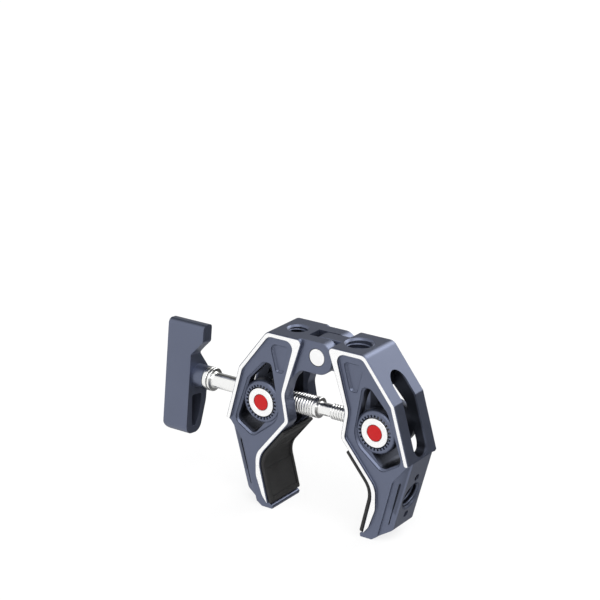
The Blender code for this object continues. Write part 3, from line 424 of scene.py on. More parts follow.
def painted_shade_inside_jaw(across, depth, height):
    """Mask of painted shade: 1 deep in a jaw's window and slots, and 0 on its outer faces."""
    inner_x = WINDOW_INNER.x - RIM_CORNER_WIDTH
    outside = [TOP_INNER, TOP_OUTER, SHOULDER, ELBOW, HEEL]
    edges = list(zip(outside, outside[1:])) + [(BITE, KNEE), ((inner_x, KNEE.z), (inner_x, 0))]
    share = 1 - abs(depth).ramp(OUTER_DEPTH_FROM, OUTER_DEPTH_TO)
    for start, end in edges:
        along = (Vector(end) - Vector(start)).normalized()
        reach = (abs(across) - start[0]) * along.y - (height - start[1]) * along.x
        share = share * reach.ramp(INSIDE_FROM, INSIDE_TO)
    return share


def anodised(name, rim_at=None):
    """Bead-blasted satin anodising; past rim_at in depth it is machined bright, and when rim_at is
    given, shade is painted darker deep inside a jaw's window and slots.
    """
    material, bench, shader = new_finish(name)
    colours = look().colours
    whole, (across, depth, height) = bench.places()
    grain = bench.noise(whole, BLAST_GRAIN, 3)
    cloud = bench.noise(whole, BLAST_CLOUD)
    colour = bench.shade(tuple(colours.navy), 0.94 + 0.12 * cloud)
    roughness = 0.34 + 0.10 * grain
    if rim_at is not None:
        # Painted shade: the navy is darkened deep inside the jaw's window and slots
        colour = bench.shade(colour, 1 - INSIDE_PAINTED_SHADE * painted_shade_inside_jaw(across, depth, height))
        rim = abs(depth) > rim_at
        colour = bench.blend(rim, colour, tuple(colours.bright))
        roughness = roughness - RIM_SMOOTHER * rim
    bench.feed(shader, {"Base Color": colour, "Roughness": roughness,
                        "Metallic": ANODISED_METALLIC,
                        "Normal": bench.bump(grain, 0.010 * MM, 0.5)})
    return material


def turned(name, colour, roughness, metallic, centre, lines=TURNING_LINES, axis=1):
    """Turned metal: fine rings that follow the tool, read from how far a point is from the axis."""
    material, bench, shader = new_finish(name)
    whole, parts = bench.places()
    along = parts[axis]
    side = parts[1] if axis == 0 else abs(parts[0])
    first, second = side - centre[1 - axis], parts[2] - centre[2]
    radius = (first * first + second * second) ** 0.5
    groove = (radius * lines + along * lines).sine()
    stain = bench.noise(whole, TURNED_STAIN)
    bench.feed(shader, {"Base Color": bench.shade(tuple(colour), 0.96 + 0.06 * stain),
                        "Roughness": roughness + 0.06 * stain, "Metallic": metallic,
                        "Normal": bench.bump(groove, 0.002 * MM, 0.35)})
    return material


def steel_finish():
    """The steel of spindle, washer, nuts and screw, made the first time it is asked for."""
    return bpy.data.materials.get("spindle_steel") or turned(
        "spindle_steel", look().colours.steel, *STEEL_TURNED, (0, 0, SPINDLE_Z), STEEL_LINES, 0)


def rubber_finish():
    """Matt moulded rubber with a fine grain."""
    material, bench, shader = new_finish("pad_rubber")
    whole, _ = bench.places()
    grain = bench.noise(whole, RUBBER_GRAIN, 3)
    dust = bench.noise(whole, RUBBER_DUST)
    bench.feed(shader, {"Base Color": bench.shade(tuple(look().colours.rubber), 0.85 + 0.5 * dust),
                        "Roughness": 0.55 + 0.15 * grain,
                        "Specular IOR Level": RUBBER_SPECULAR,
                        "Normal": bench.bump(grain, 0.012 * MM, 0.6)})
    return material


def place_object(name, data, home=None):
    """Put a mesh, curve or camera in the scene, or in another collection, at the origin."""
    thing = bpy.data.objects.new(name, data)
    (home or bpy.context.scene.collection).objects.link(thing)
    return thing


def forge_object(name, data):
    """Put a mesh or curve in the forge, where solids are built and cut."""
    return place_object(name, data, bpy.data.collections["forge"])


def seat(piece, body, slot, material, *nodes):
    """Give a finished piece its material and body, and hide the nodes that it stands for. The slot
    is not used.
    """
    piece.data.materials.clear()
    piece.data.materials.append(material)
    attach(piece, body)
    if nodes:
        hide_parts(*nodes)


def evaluated_mesh(thing):
    """The mesh that an object's modifiers make."""
    bpy.context.view_layer.update()
    evaluated = thing.evaluated_get(bpy.context.evaluated_depsgraph_get())
    return bpy.data.meshes.new_from_object(evaluated)


def settled(thing):
    """Replace an object by a plain mesh of what its modifiers make."""
    mesh = evaluated_mesh(thing)
    name = thing.name
    bpy.data.objects.remove(thing)
    mesh.name = name
    return place_object(name, mesh)


def forged(maker, *details):
    """Build a solid in a forge of its own, and return what its modifiers make of it."""
    forge = bpy.data.collections.new("forge")
    bpy.context.scene.collection.children.link(forge)
    mesh = evaluated_mesh(maker(*details))
    for tool in list(forge.objects):
        bpy.data.objects.remove(tool)
    bpy.data.collections.remove(forge)
    return mesh


def finished_mesh(shape, name, mesh=None):
    """Write a bmesh into a mesh and let go of it."""
    mesh = mesh or bpy.data.meshes.new(name)
    shape.to_mesh(mesh)
    shape.free()
    return mesh


def add_bevel(thing, width, segments, angle):
    """Round the edges of an object that are sharper than an angle."""
    bevel = thing.modifiers.new("edges", "BEVEL")
    bevel.width = width
    bevel.segments = segments
    bevel.limit_method = "ANGLE"
    bevel.angle_limit = angle


def rounded_piece(name, mesh, width, segments):
    """Merge a mesh's triangles into clean faces, round its sharp edges and put it in the scene."""
    shape = bmesh.new()
    shape.from_mesh(mesh)
    bmesh.ops.remove_doubles(shape, verts=shape.verts, dist=WELD_DISTANCE / 2)
    bmesh.ops.dissolve_limit(shape, angle_limit=math.radians(1), verts=shape.verts,
                             edges=shape.edges)
    for face in shape.faces:
        face.smooth = True
    thing = place_object(name, finished_mesh(shape, name, mesh))
    add_bevel(thing, width, segments, ROUNDED_FROM)
    thing.modifiers.new("normals", "WEIGHTED_NORMAL")
    return settled(thing)


def rounded_copy(name, node, width):
    """Copy a node and round its sharp edges."""
    return rounded_piece(name, frame["nodes"][node].data.copy(), width, 2)


def lathe(name, profile, placed):
    """Turn a (radius, height) profile round Z, close it and put it in place."""
    steps = look().sizes.round_steps
    shape = bmesh.new()
    rings = []
    for radius, height in profile:
        angles = [2 * math.pi * step / steps for step in range(steps)] if radius > 0 else [0]
        rings.append([shape.verts.new((radius * math.cos(angle), radius * math.sin(angle), height))
                      for angle in angles])
    closed = profile[0][0] > 0 and profile[-1][0] > 0
    for first, second in list(zip(rings, rings[1:])) + ([(rings[-1], rings[0])] if closed else []):
        for step in range(steps):
            after = (step + 1) % steps
            corners = [first[step % len(first)], second[step % len(second)],
                       second[after % len(second)], first[after % len(first)]]
            unique = list(dict.fromkeys(corners))
            if len(unique) > 2:
                shape.faces.new(unique)
    bmesh.ops.recalc_face_normals(shape, faces=shape.faces)
    bmesh.ops.transform(shape, matrix=placed, verts=shape.verts)
    mesh = finished_mesh(shape, name)
    mesh.shade_smooth()
    mesh.set_sharp_from_angle(angle=TURNED_SHARP)
    return place_object(name, mesh)


def softened(profile, radius, steps=3):
    """Round the inner corners of an open profile with short arcs."""
    points = [profile[0]]
    for before, corner, after in zip(profile, profile[1:], profile[2:]):
        here = Vector(corner)
        back = Vector(before) - here
        on = Vector(after) - here
        reach = min(radius, back.length * 0.45, on.length * 0.45)
        start = here + back.normalized() * reach
        end = here + on.normalized() * reach
        for step in range(steps + 1):
            share = step / steps
            first = start.lerp(here, share)
            points.append(tuple(first.lerp(here.lerp(end, share), share)))
    points.append(profile[-1])
    return points


def arc_corner(before, corner, after, radius):
    """Return the points that round one corner of an outline."""
    corner = Vector(corner)
    back, on = Vector(before) - corner, Vector(after) - corner
    towards_before, towards_after = back.normalized(), on.normalized()
    half = towards_before.angle(towards_after) / 2
    turn = math.pi - 2 * half
    if radius <= 0 or turn < math.radians(2):
        return [corner]
    reach = min(radius / math.tan(half), min(back.length, on.length) * ARC_SHARE)
    radius = reach * math.tan(half)
    centre = corner + (towards_before + towards_after).normalized() * radius / math.sin(half)
    start = corner + towards_before * reach - centre
    end = corner + towards_after * reach - centre
    steps = max(3, math.ceil(turn / ARC_STEP))
    sweep = start.angle_signed(end)
    return [centre + Matrix.Rotation(-sweep * step / steps, 2) @ start for step in range(steps + 1)]


def rounded(corners, side=1):
    """Turn (x, z, radius) corners into a rounded outline, flipped in X for the -X side."""
    points = []
    for index, (x, z, radius) in enumerate(corners):
        before, after = corners[index - 1][:2], corners[(index + 1) % len(corners)][:2]
        points.extend(arc_corner(before, (x, z), after, radius))
    return [(point.x * side, point.y) for point in points]


def crossing(start_a, end_a, start_b, end_b):
    """Return where two lines cross."""
    along_a, along_b = end_a - start_a, end_b - start_b
    return start_a + along_a * ((start_b - start_a).cross(along_b) / along_a.cross(along_b))


def shifted_edge(start, end, width, width_end=None):
    """Move an edge to its left by a width, or by one at its start and another at its end."""
    along = (Vector(end) - Vector(start)).normalized()
    left = Vector((-along.y, along.x))
    width_end = width if width_end is None else width_end
    return Vector(start) + left * width, Vector(end) + left * width_end


def plate(outline, thickness, placed, chamfer=0.0, segments=1):
    """Extrude an outline to both sides of its plane, with its edges broken if asked."""
    curve = bpy.data.curves.new("plate", "CURVE")
    curve.dimensions = "2D"
    curve.fill_mode = "BOTH"
    curve.extrude = thickness / 2
    spline = curve.splines.new("POLY")
    spline.points.add(len(outline) - 1)
    spline.use_cyclic_u = True
    for point, (x, y) in zip(spline.points, outline):
        point.co = (x, y, 0, 1)
    drawn = forge_object("drawn", curve)
    drawn.matrix_world = placed
    mesh = evaluated_mesh(drawn)
    mesh.transform(placed)
    bpy.data.objects.remove(drawn)
    shape = bmesh.new()
    shape.from_mesh(mesh)
    bmesh.ops.remove_doubles(shape, verts=shape.verts, dist=WELD_DISTANCE)
    bmesh.ops.dissolve_limit(shape, angle_limit=math.radians(0.5), verts=shape.verts,
                             edges=shape.edges)
    if chamfer:
        sharp = [edge for edge in shape.edges if edge.calc_face_angle(0) > math.radians(80)]
        bmesh.ops.bevel(shape, geom=sharp, offset=chamfer, segments=segments, profile=0.5,
                        affect="EDGES", clamp_overlap=True)
    bmesh.ops.recalc_face_normals(shape, faces=shape.faces)
    return forge_object("plate", finished_mesh(shape, "plate", mesh))


def prism(outline, y_from, y_to, chamfer=0.0, segments=1):
    """Extrude an outline in XZ from one Y to another."""
    placed = Matrix.Translation((0, (y_from + y_to) / 2, 0)) @ UPRIGHT
    return plate(outline, abs(y_to - y_from), placed, chamfer, segments)


def bar(outline, x_from, x_to):
    """Extrude an outline in YZ from one X to another."""
    thing = prism(outline, x_from, x_to)
    thing.data.transform(ALONG_X)
    return thing


def drum(radius, start, end, segments=ROUND_SEGMENTS):
    """Make a cylinder between two points."""
    start, end = Vector(start), Vector(end)
    axis = end - start
    shape = bmesh.new()
    bmesh.ops.create_cone(shape, cap_ends=True, segments=segments, radius1=radius, radius2=radius,
                          depth=axis.length)
    turn = axis.to_track_quat("Z", "Y").to_matrix().to_4x4()
    placed = Matrix.Translation((start + end) / 2) @ turn
    bmesh.ops.transform(shape, matrix=placed, verts=shape.verts)
    return forge_object("drum", finished_mesh(shape, "drum"))


def axle(radius, x, z, reach):
    """Make a cylinder along Y, as far to the front as to the back."""
    return drum(radius, (x, -reach, z), (x, reach, z))


def hole_cutter(radius, depth, mouth, outward):
    """A blind hole with a chamfered mouth, turned about its own axis."""
    profile = [(0, HOLE_CHAMFER), (radius + HOLE_CHAMFER * 2, HOLE_CHAMFER),
               (radius, -HOLE_CHAMFER), (radius, -depth), (0, -depth)]
    mesh = bpy.data.meshes.new("hole")
    mesh.from_pydata([(across, 0, height) for across, height in profile],
                     [(index, index + 1) for index in range(len(profile) - 1)], [])
    thing = forge_object("hole", mesh)
    thing.location = mouth
    thing.rotation_euler = Vector(outward).to_track_quat("Z", "Y").to_euler()
    screw = thing.modifiers.new("turned", "SCREW")
    screw.axis = "Z"
    screw.steps = screw.render_steps = HOLE_SEGMENTS
    screw.use_merge_vertices = True
    screw.merge_threshold = WELD_DISTANCE
    return thing


def combine(target, operation, *tools):
    """Add an exact Boolean to an object for each tool."""
    for tool in tools:
        boolean = target.modifiers.new(operation.lower(), "BOOLEAN")
        boolean.operation = operation
        boolean.solver = "EXACT"
        boolean.object = tool


def cut(target, *tools):
    combine(target, "DIFFERENCE", *tools)


def panel_corners():
    """The sunk panel inside the rim; below the elbow it runs out past the outer side.

    The rim ends in a round nose at the elbow, and narrows to a point beside the pad's foot.
    """
    beyond = JAW_DEPTH
    outside = [ELBOW, SHOULDER, TOP_OUTER, TOP_INNER, WAIST, KNEE, BITE]
    widths = {TOP_INNER: RIM_CORNER_WIDTH}
    edges = [shifted_edge(start, end, widths.get(start, RIM_WIDTH), RIM_WIDTH)
             for start, end in zip(outside, outside[1:])]
    edges.append((Vector((RIM_BITE_X, BITE.z)), Vector((RIM_BITE_X, RIM_TAPER_Z))))
    radii = [SHOULDER_RADIUS, TOP_CORNER_RADIUS, PANEL_CORNER_RADIUS, WAIST_RADIUS + RIM_WIDTH,
             KNEE_RADIUS - RIM_WIDTH / 2, BITE_RADIUS - RIM_WIDTH]
    nose = crossing(*edges[0], Vector((0, RIM_END_Z)), Vector((ELBOW.x, RIM_END_Z)))
    corners = [
        (ELBOW.x + beyond, RIM_END_Z + RIM_WIDTH, 0),
        (ELBOW.x + EDGE_BREAK, RIM_END_Z + RIM_WIDTH, 0),
        (nose.x + RIM_WIDTH - EDGE_BREAK, nose.y, RIM_WIDTH / 2), (*nose, RIM_WIDTH / 2),
    ]
    for first, second, radius in zip(edges, edges[1:], radii):
        corners.append((*crossing(*first, *second), radius))
    rim_foot = PAD_FOOT.z + EDGE_BREAK
    return corners + [
        (RIM_BITE_X, RIM_TAPER_Z, RIM_TOE_RADIUS), (*RIM_TOE, RIM_TOE_RADIUS),
        (PAD_FOOT.x + 2 * EDGE_BREAK, rim_foot, 0), (PAD_FOOT.x - beyond, rim_foot, 0),
        (PAD_FOOT.x - beyond, TOE_Z - beyond, 0), (ELBOW.x + beyond, TOE_Z - beyond, 0),
    ]


def window_corners(flare=0.0):
    """The window's outline, or the wider outline of the flare that also goes round the boss."""
    base = WINDOW + [FLARE_INNER if flare else WINDOW_INNER]
    radii = [WINDOW_RADIUS + flare] * len(WINDOW) + [FLARE_INNER_RADIUS if flare else WINDOW_RADIUS]
    edges = [shifted_edge(start, end, flare) for start, end in zip(base, base[1:] + base[:1])]
    return [(*crossing(*edges[index - 1], *edge), radii[index]) for index, edge in enumerate(edges)]


def lug_corners(radius):
    """A hinge lug about the hinge axis, run past the slope of the jaw's inner edge.

    A gusset stands under it where it joins its jaw.
    """
    slope = (WAIST.x - TOP_INNER.x) / -WAIST.z
    reach = TOP_INNER.x + slope * (EAR_RADIUS - HINGE_Z + GUSSET_DROP) + SEAT_GAP
    foot = HINGE_Z - radius
    return [(-radius, 0, LUG_TOP_RADIUS), (reach, 0, 0), (reach, foot - GUSSET_DROP, 0),
            (reach - GUSSET_REACH, foot, GUSSET_DROP), (-radius, foot, radius)]


def notch_outline():
    """The slot between the ears, which then follows the jaw's inner edge down."""
    beyond = JAW_DEPTH
    end = -EAR_RADIUS - RUNNING_GAP
    slope = (WAIST.x - TOP_INNER.x) / WAIST.z
    edge = -TOP_INNER.x - EDGE_BREAK
    foot = HINGE_Z - EAR_RADIUS - GUSSET_DROP - RUNNING_GAP
    return [(end, beyond), (end, (end - edge) / -slope), (edge - slope * foot, foot),
            (beyond, foot), (beyond, beyond)]


def slot_outline(width, top, foot):
    """A slot with round ends, as points of half its width against height."""
    half = width / 2
    steps = int(math.pi / ARC_STEP)
    points = []
    for middle, start in ((top - half, 0.0), (foot + half, math.pi)):
        for step in range(steps + 1):
            angle = start + math.pi * step / steps
            points.append((half * math.cos(angle), middle + half * math.sin(angle)))
    return points


def serrated_outline(inner, outer, side):
    """A round opening whose edge is cut by square notches."""
    points = []
    half_notch = math.pi / SERRATIONS / 2
    for tooth in range(SERRATIONS):
        middle = 2 * math.pi * tooth / SERRATIONS
        for step, radius in ((-1, inner), (-1, outer), (1, outer), (1, inner)):
            angle = middle + step * half_notch
            points.append(((TRUNNION_X + radius * math.cos(angle)) * side,
                           SPINDLE_Z + radius * math.sin(angle)))
    return points


def flank_cutters(side, face):
    """Cutters for one sloped flank of the lower arm and for its long groove.

    Their axes run along the ridge, down the flank's slope and out of it.
    """
    bend = Vector(RIDGE_BEND)
    ridge = Vector(RIDGE_FOOT) - bend
    along = ridge.normalized()
    across = Vector((-along.y, along.x))
    run = (crossing(bend, bend + across, Vector(ELBOW), Vector(HEEL)) - bend).length
    top = JAW_DEPTH / 2 - RIM_HEIGHT - RIDGE_STEP
    drop = top - (JAW_DEPTH - 2 * LOWER_FACE_INSET) / 2
    x_axis = Vector((along.x * side, 0, along.y))
    y_axis = Vector((across.x * side * run, -face * drop, across.y * run)).normalized()
    z_axis = x_axis.cross(y_axis)
    axes = Matrix((x_axis, y_axis, z_axis)).transposed().to_4x4()
    axes.translation = (bend.x * side, face * top, bend.y)
    outward = 1 if z_axis.y * face > 0 else -1

    def local(place):
        offset = Vector(place) - bend
        return offset.dot(along), offset.dot(across)

    def cutter(outline, low, high):
        middle = Matrix.Translation((0, 0, (low + high) / 2))
        return plate(outline, abs(high - low), axes @ middle)

    height = outward * FLANK_CUTTER_HEIGHT
    length, reach = ridge.length + FLANK_CUTTER_HEIGHT, run + FLANK_CUTTER_HEIGHT
    elbow = local(ELBOW)
    flank = cutter([(0, 0), (length, 0), (length, reach), (elbow[0], reach), elbow,
                    local(RIDGE_TOP)], 0, height)
    middle, half, end = run * GROOVE_PLACE, GROOVE_WIDTH / 2, GROOVE_LENGTH
    groove = cutter([(-half, middle), (half, middle - half), (end - half, middle - half / 2),
                     (end, middle), (end - half, middle + half / 2), (half, middle + half)],
                    -outward * GROOVE_DEPTH, height)
    return flank, groove


def jaw(side):
    """One jaw, forged in one piece with its hinge lugs and trunnion bosses."""
    half, beyond = JAW_DEPTH / 2, JAW_DEPTH
    body = prism(rounded(JAW_CORNERS, side), -half, half, RIM_ROUND, 4)
    add_hinge(body, side)
    panel = half - RIM_HEIGHT
    hollows = ((panel_corners(), 0, PANEL_FILLET, 3), (POCKET, POCKET_DEPTH, POCKET_SLOPE, 1),
               (window_corners(WINDOW_FLARE), FLARE_DEPTH, WINDOW_CHAMFER, 1))
    for face in (-1, 1):
        for corners, depth, edge, steps in hollows:
            low = face * (panel - depth)
            cut(body, prism(rounded(corners, side), low, face * beyond, edge, steps))
        cut(body, *flank_cutters(side, face))
    cut(body, prism(rounded(window_corners(), side), -beyond, beyond))
    boss = axle(BOSS_RADIUS, side * TRUNNION_X, SPINDLE_Z, BOSS_HALF_WIDTH)
    add_bevel(boss, BOSS_ROUND, BOSS_ROUND_STEPS, math.radians(60))
    combine(body, "UNION", boss)
    seat_radius = NUT_RADIUS + RUNNING_GAP
    inner_end, outer_start = TRUNNION_X + INNER_SLOT_REACH, TRUNNION_X - RUNNING_GAP
    cut(body, bar(slot_outline(*INNER_SLOT), -side * TOP_INNER.x, side * inner_end),
        bar(slot_outline(*OUTER_SLOT), side * outer_start, side * (ELBOW.x + beyond)),
        axle(seat_radius, side * TRUNNION_X, SPINDLE_Z, beyond))
    teeth = serrated_outline(seat_radius + SERRATION_ROOT, seat_radius + SERRATION_HEIGHT, side)
    for face in (-1, 1):
        cut(body, prism(teeth, face * (BOSS_HALF_WIDTH - SERRATION_DEPTH), face * beyond))
    drill_jaw(body, side)
    return body


def add_hinge(body, side):
    """A knuckle on one jaw; on the handle's jaw a wide lug, slotted into two ears."""
    if side == 1:
        radius, half, gap = KNUCKLE_RADIUS, KNUCKLE_WIDTH / 2, RUNNING_GAP
    else:
        radius, half, gap = EAR_RADIUS, (JAW_DEPTH - 2 * EAR_INSET) / 2, SEAT_GAP
    combine(body, "UNION", prism(rounded(lug_corners(radius), side), -half, half, EDGE_BREAK))
    if side == -1:
        inner = KNUCKLE_WIDTH / 2 + RUNNING_GAP
        cut(body, prism(notch_outline(), -inner, inner))
    cut(body, axle(HINGE_PIN_RADIUS + gap, 0, HINGE_Z, JAW_DEPTH))


def drill_jaw(body, side):
    """The threaded hole in the top and the threaded and locating holes in the outer face."""
    x, radius, _ = SCREW_HOLES[side]
    edge = Vector(HEEL) - Vector(ELBOW)
    along = edge.normalized()
    outward = Vector((-along.y * side, 0, along.x))
    middle = Vector(ELBOW) + along * edge.length * SIDE_HOLE_PLACE
    cut(body, hole_cutter(radius, TOP_HOLE_DEPTH, (x, 0, 0), (0, 0, 1)),
        hole_cutter(radius, SIDE_HOLE_DEPTH, (middle.x * side, 0, middle.y), outward))
    for step in (-1, 1):
        place = middle + along * step * LOCATING_HOLE_SPACING
        mouth = Vector((place.x * side, 0, place.y))
        cut(body, drum(LOCATING_HOLE_RADIUS, mouth - outward * LOCATING_HOLE_DEPTH,
                       mouth + outward * HOLE_CHAMFER, HOLE_SEGMENTS // 2))


def pad(side):
    """A moulded rubber pad that follows the lower inner edge of its jaw."""
    def layer(depth):
        upper = shifted_edge(BITE, PAD_HEAD, depth)
        lower = shifted_edge(PAD_FOOT, BITE, depth)
        return upper[1], crossing(*lower, *upper), lower[0]

    base, skin = layer(SEAT_GAP), layer(PAD_THICKNESS)
    floor, sky = layer(PAD_THICKNESS - PAD_RECESS), layer(PAD_CUTTER_REACH)
    half = JAW_DEPTH / 2 - PAD_INSET
    body = prism(rounded([
        (*base[0], 0), (*base[1], BITE_RADIUS - SEAT_GAP), (*base[2], 0),
        (*skin[2], 0), (*skin[1], BITE_RADIUS - PAD_THICKNESS), (*skin[0], 0),
    ], side), -half, half, PAD_CORNER, 3)
    upper_in = (floor[1] - floor[0]).normalized() * PAD_HEAD_BAR
    lower_in = (floor[1] - floor[2]).normalized() * PAD_FOOT_BAND
    inner_half = half - PAD_FRAME
    cut(body, prism(rounded([
        (*(floor[0] + upper_in), 0), (*floor[1], BITE_RADIUS - PAD_THICKNESS + PAD_RECESS),
        (*(floor[2] + lower_in), 0), (*(sky[2] + lower_in), 0), (*sky[1], 0),
        (*(sky[0] + upper_in), 0),
    ], side), -inner_half, inner_half))
    return body


def handle():
    """The key-shaped handle: an outline crossed with a section that is flat in front, and a hub."""
    def from_front(corners):
        front = HANDLE_THICKNESS / 2
        return rounded([(front - depth, height, radius) for depth, height, radius in corners])

    body = prism(rounded(HANDLE_OUTLINE), -HANDLE_THICKNESS, HANDLE_THICKNESS)
    far = (HANDLE_OUTER_X * 2, 0, 0)
    combine(body, "INTERSECT", bar(from_front(HANDLE_SECTION), far[0], 0))
    hub_root = (HANDLE_BODY_X - HUB_ROOT, 0, 0)
    combine(body, "UNION", drum(COLLAR_RADIUS, hub_root, (HANDLE_HUB_X, 0, 0)))
    head_seat = HANDLE_OUTER_X + SCREW_HEAD_THICKNESS + SEAT_GAP * 2
    cut(body, bar(from_front(HANDLE_POCKET), HANDLE_BODY_X - HANDLE_POCKET_DEPTH, 0),
        drum(TENON_RADIUS + SEAT_GAP, (TENON_END_X - SEAT_GAP, 0, 0), (0, 0, 0)),
        drum(SCREW_RADIUS + SEAT_GAP, far, (TENON_END_X, 0, 0), HOLE_SEGMENTS),
        drum(SCREW_HEAD_RADIUS + SEAT_GAP, far, (head_seat, 0, 0), HOLE_SEGMENTS))
    return body


def new_recipe(name, *inputs):
    """Start a geometry recipe with named inputs; return its bench and its inputs' wires."""
    tree = bpy.data.node_groups.new(name, "GeometryNodeTree")
    for label, kind, value in (("Geometry", "Geometry", None),) + inputs:
        socket = tree.interface.new_socket(name=label, in_out="INPUT",
                                           socket_type="NodeSocket" + kind)
        if value is not None:
            socket.default_value = value
    tree.interface.new_socket(name="Geometry", in_out="OUTPUT", socket_type="NodeSocketGeometry")
    bench = Bench(tree)
    source = tree.nodes.new("NodeGroupInput")
    return bench, {socket.name: Wire(bench, socket) for socket in source.outputs}


def end_recipe(bench, swept, material):
    """Make a recipe's geometry real, give it its material and return the recipe."""
    real = bench.make("GeometryNodeRealizeInstances", {}, {"Geometry": swept})
    dressed = bench.make("GeometryNodeSetMaterial", {}, {"Geometry": real, "Material": material})
    bench.feed(bench.tree.nodes.new("NodeGroupOutput"), {"Geometry": dressed})
    return bench.tree


def cook(name, tree, values, mesh=None):
    """Run a recipe on a mesh and return what it makes as a plain mesh object."""
    host = place_object(name, mesh or bpy.data.meshes.new(name + "_start"))
    modifier = host.modifiers.new("recipe", "NODES")
    modifier.node_group = tree
    for item in tree.interface.items_tree:
        if item.in_out == "INPUT" and item.name in values:
            modifier[item.identifier] = values[item.name]
    return settled(host)


def thread_recipe():
    """A helical ridge: a spiral with a three-sided section swept along it."""
    bench, given = new_recipe(
        "helical_thread", ("Radius", "Float", LARGE_THREAD_RADIUS), ("Pitch", "Float", MM),
        ("Turns", "Float", 10.0), ("Ridge", "Float", 0.5 * MM), ("Section Angle", "Float", 0.0),
        ("Right Hand", "Bool", True), ("Steps", "Int", THREAD_STEPS),
        ("Material", "Material", None))
    spiral = bench.make("GeometryNodeCurveSpiral", {}, {
        "Resolution": given["Steps"], "Rotations": given["Turns"], "Start Radius": given["Radius"],
        "End Radius": given["Radius"], "Height": given["Pitch"] * given["Turns"],
        "Reverse": given["Right Hand"]})
    upright = bench.make("GeometryNodeSetCurveNormal", {"mode": "Z_UP"}, {"Curve": spiral})
    section = bench.make("GeometryNodeCurvePrimitiveCircle", {},
                         {"Resolution": 3, "Radius": given["Ridge"]})
    turn = bench.make("ShaderNodeCombineXYZ", {}, {"Z": given["Section Angle"]})
    profile = bench.make("GeometryNodeTransform", {}, {"Geometry": section, "Rotation": turn})
    swept = bench.make("GeometryNodeCurveToMesh", {}, {
        "Curve": upright, "Profile Curve": profile, "Fill Caps": True})
    return end_recipe(bench, swept, given["Material"])


def rib_recipe():
    """Ribs swept along the edges that they are given."""
    bench, given = new_recipe("moulded_ribs", ("Radius", "Float", 0.2 * MM),
                              ("Sides", "Int", RIB_SIDES), ("Material", "Material", None))
    paths = bench.make("GeometryNodeMeshToCurve", {}, {"Mesh": given["Geometry"]})
    section = bench.make("GeometryNodeCurvePrimitiveCircle", {}, {
        "Resolution": given["Sides"], "Radius": given["Radius"]})
    swept = bench.make("GeometryNodeCurveToMesh", {}, {
        "Curve": paths, "Profile Curve": section, "Fill Caps": True})
    smooth = bench.make("GeometryNodeSetShadeSmooth", {}, {"Geometry": swept})
    return end_recipe(bench, smooth, given["Material"])


def along_x(x):
    """A matrix that lays Z along X, through the spindle's axis."""
    return Matrix.Translation((x, 0, SPINDLE_Z)) @ Matrix.Rotation(math.pi / 2, 4, "Y")


def thread(name, material, placed, radius, pitch, length, ridge, inward=False, right_hand=True):
    """Cook one helical thread, its crest out from the axis or in towards it, and place it."""
    tree = bpy.data.node_groups.get("helical_thread") or thread_recipe()
    piece = cook(name, tree, {
        "Radius": radius, "Pitch": pitch, "Turns": length / pitch, "Ridge": ridge,
        "Section Angle": math.pi if inward == right_hand else 0.0, "Right Hand": right_hand,
        "Material": material})
    piece.data.transform(placed)
    return piece


class CLAMP_OT_jaws(bpy.types.Operator):
    """Forge the two jaws in navy anodising with a bright machined rim"""

    bl_idname = "clamp.jaws"
    bl_label = "Jaws"

    def execute(self, context):
        finish = anodised("jaw_anodising", rim_at=JAW_HALF_DEPTH - RIM_SKIN)
        for name, side in SIDES:
            piece = rounded_piece(f"{name}_jaw_skin", forged(jaw, side), look().sizes.edge_round, 2)
            seat(piece, f"{name}_jaw", "navy_anodised", finish, f"{name}_jaw")
        return {"FINISHED"}


class CLAMP_OT_hole_threads(bpy.types.Operator):
    """Cut the threads of the four screw holes"""

    bl_idname = "clamp.hole_threads"
    bl_label = "Hole threads"

    def execute(self, context):
        finish = anodised("hole_anodising")
        sink = HOLE_CHAMFER + HOLE_THREAD_DEPTH
        for name, side in SIDES:
            x, radius, pitch = SCREW_HOLES[side]
            axis = Vector((SIDE_HOLE_AXIS.x * side, 0, SIDE_HOLE_AXIS.z))
            start = Vector((SIDE_HOLE.x * side, 0, SIDE_HOLE.z)) - axis * sink
            turn = axis.to_track_quat("Z", "Y").to_matrix().to_4x4()
            for place, placed in (("top", Matrix.Translation((x, 0, -sink))),
                                  ("side", Matrix.Translation(start) @ turn)):
                piece = thread(f"{name}_{place}_thread", finish, placed, radius, pitch,
                               HOLE_THREAD_DEPTH, pitch * HOLE_RIDGE_SHARE, inward=True)
                seat(piece, f"{name}_jaw", "navy_anodised", finish)
        return {"FINISHED"}


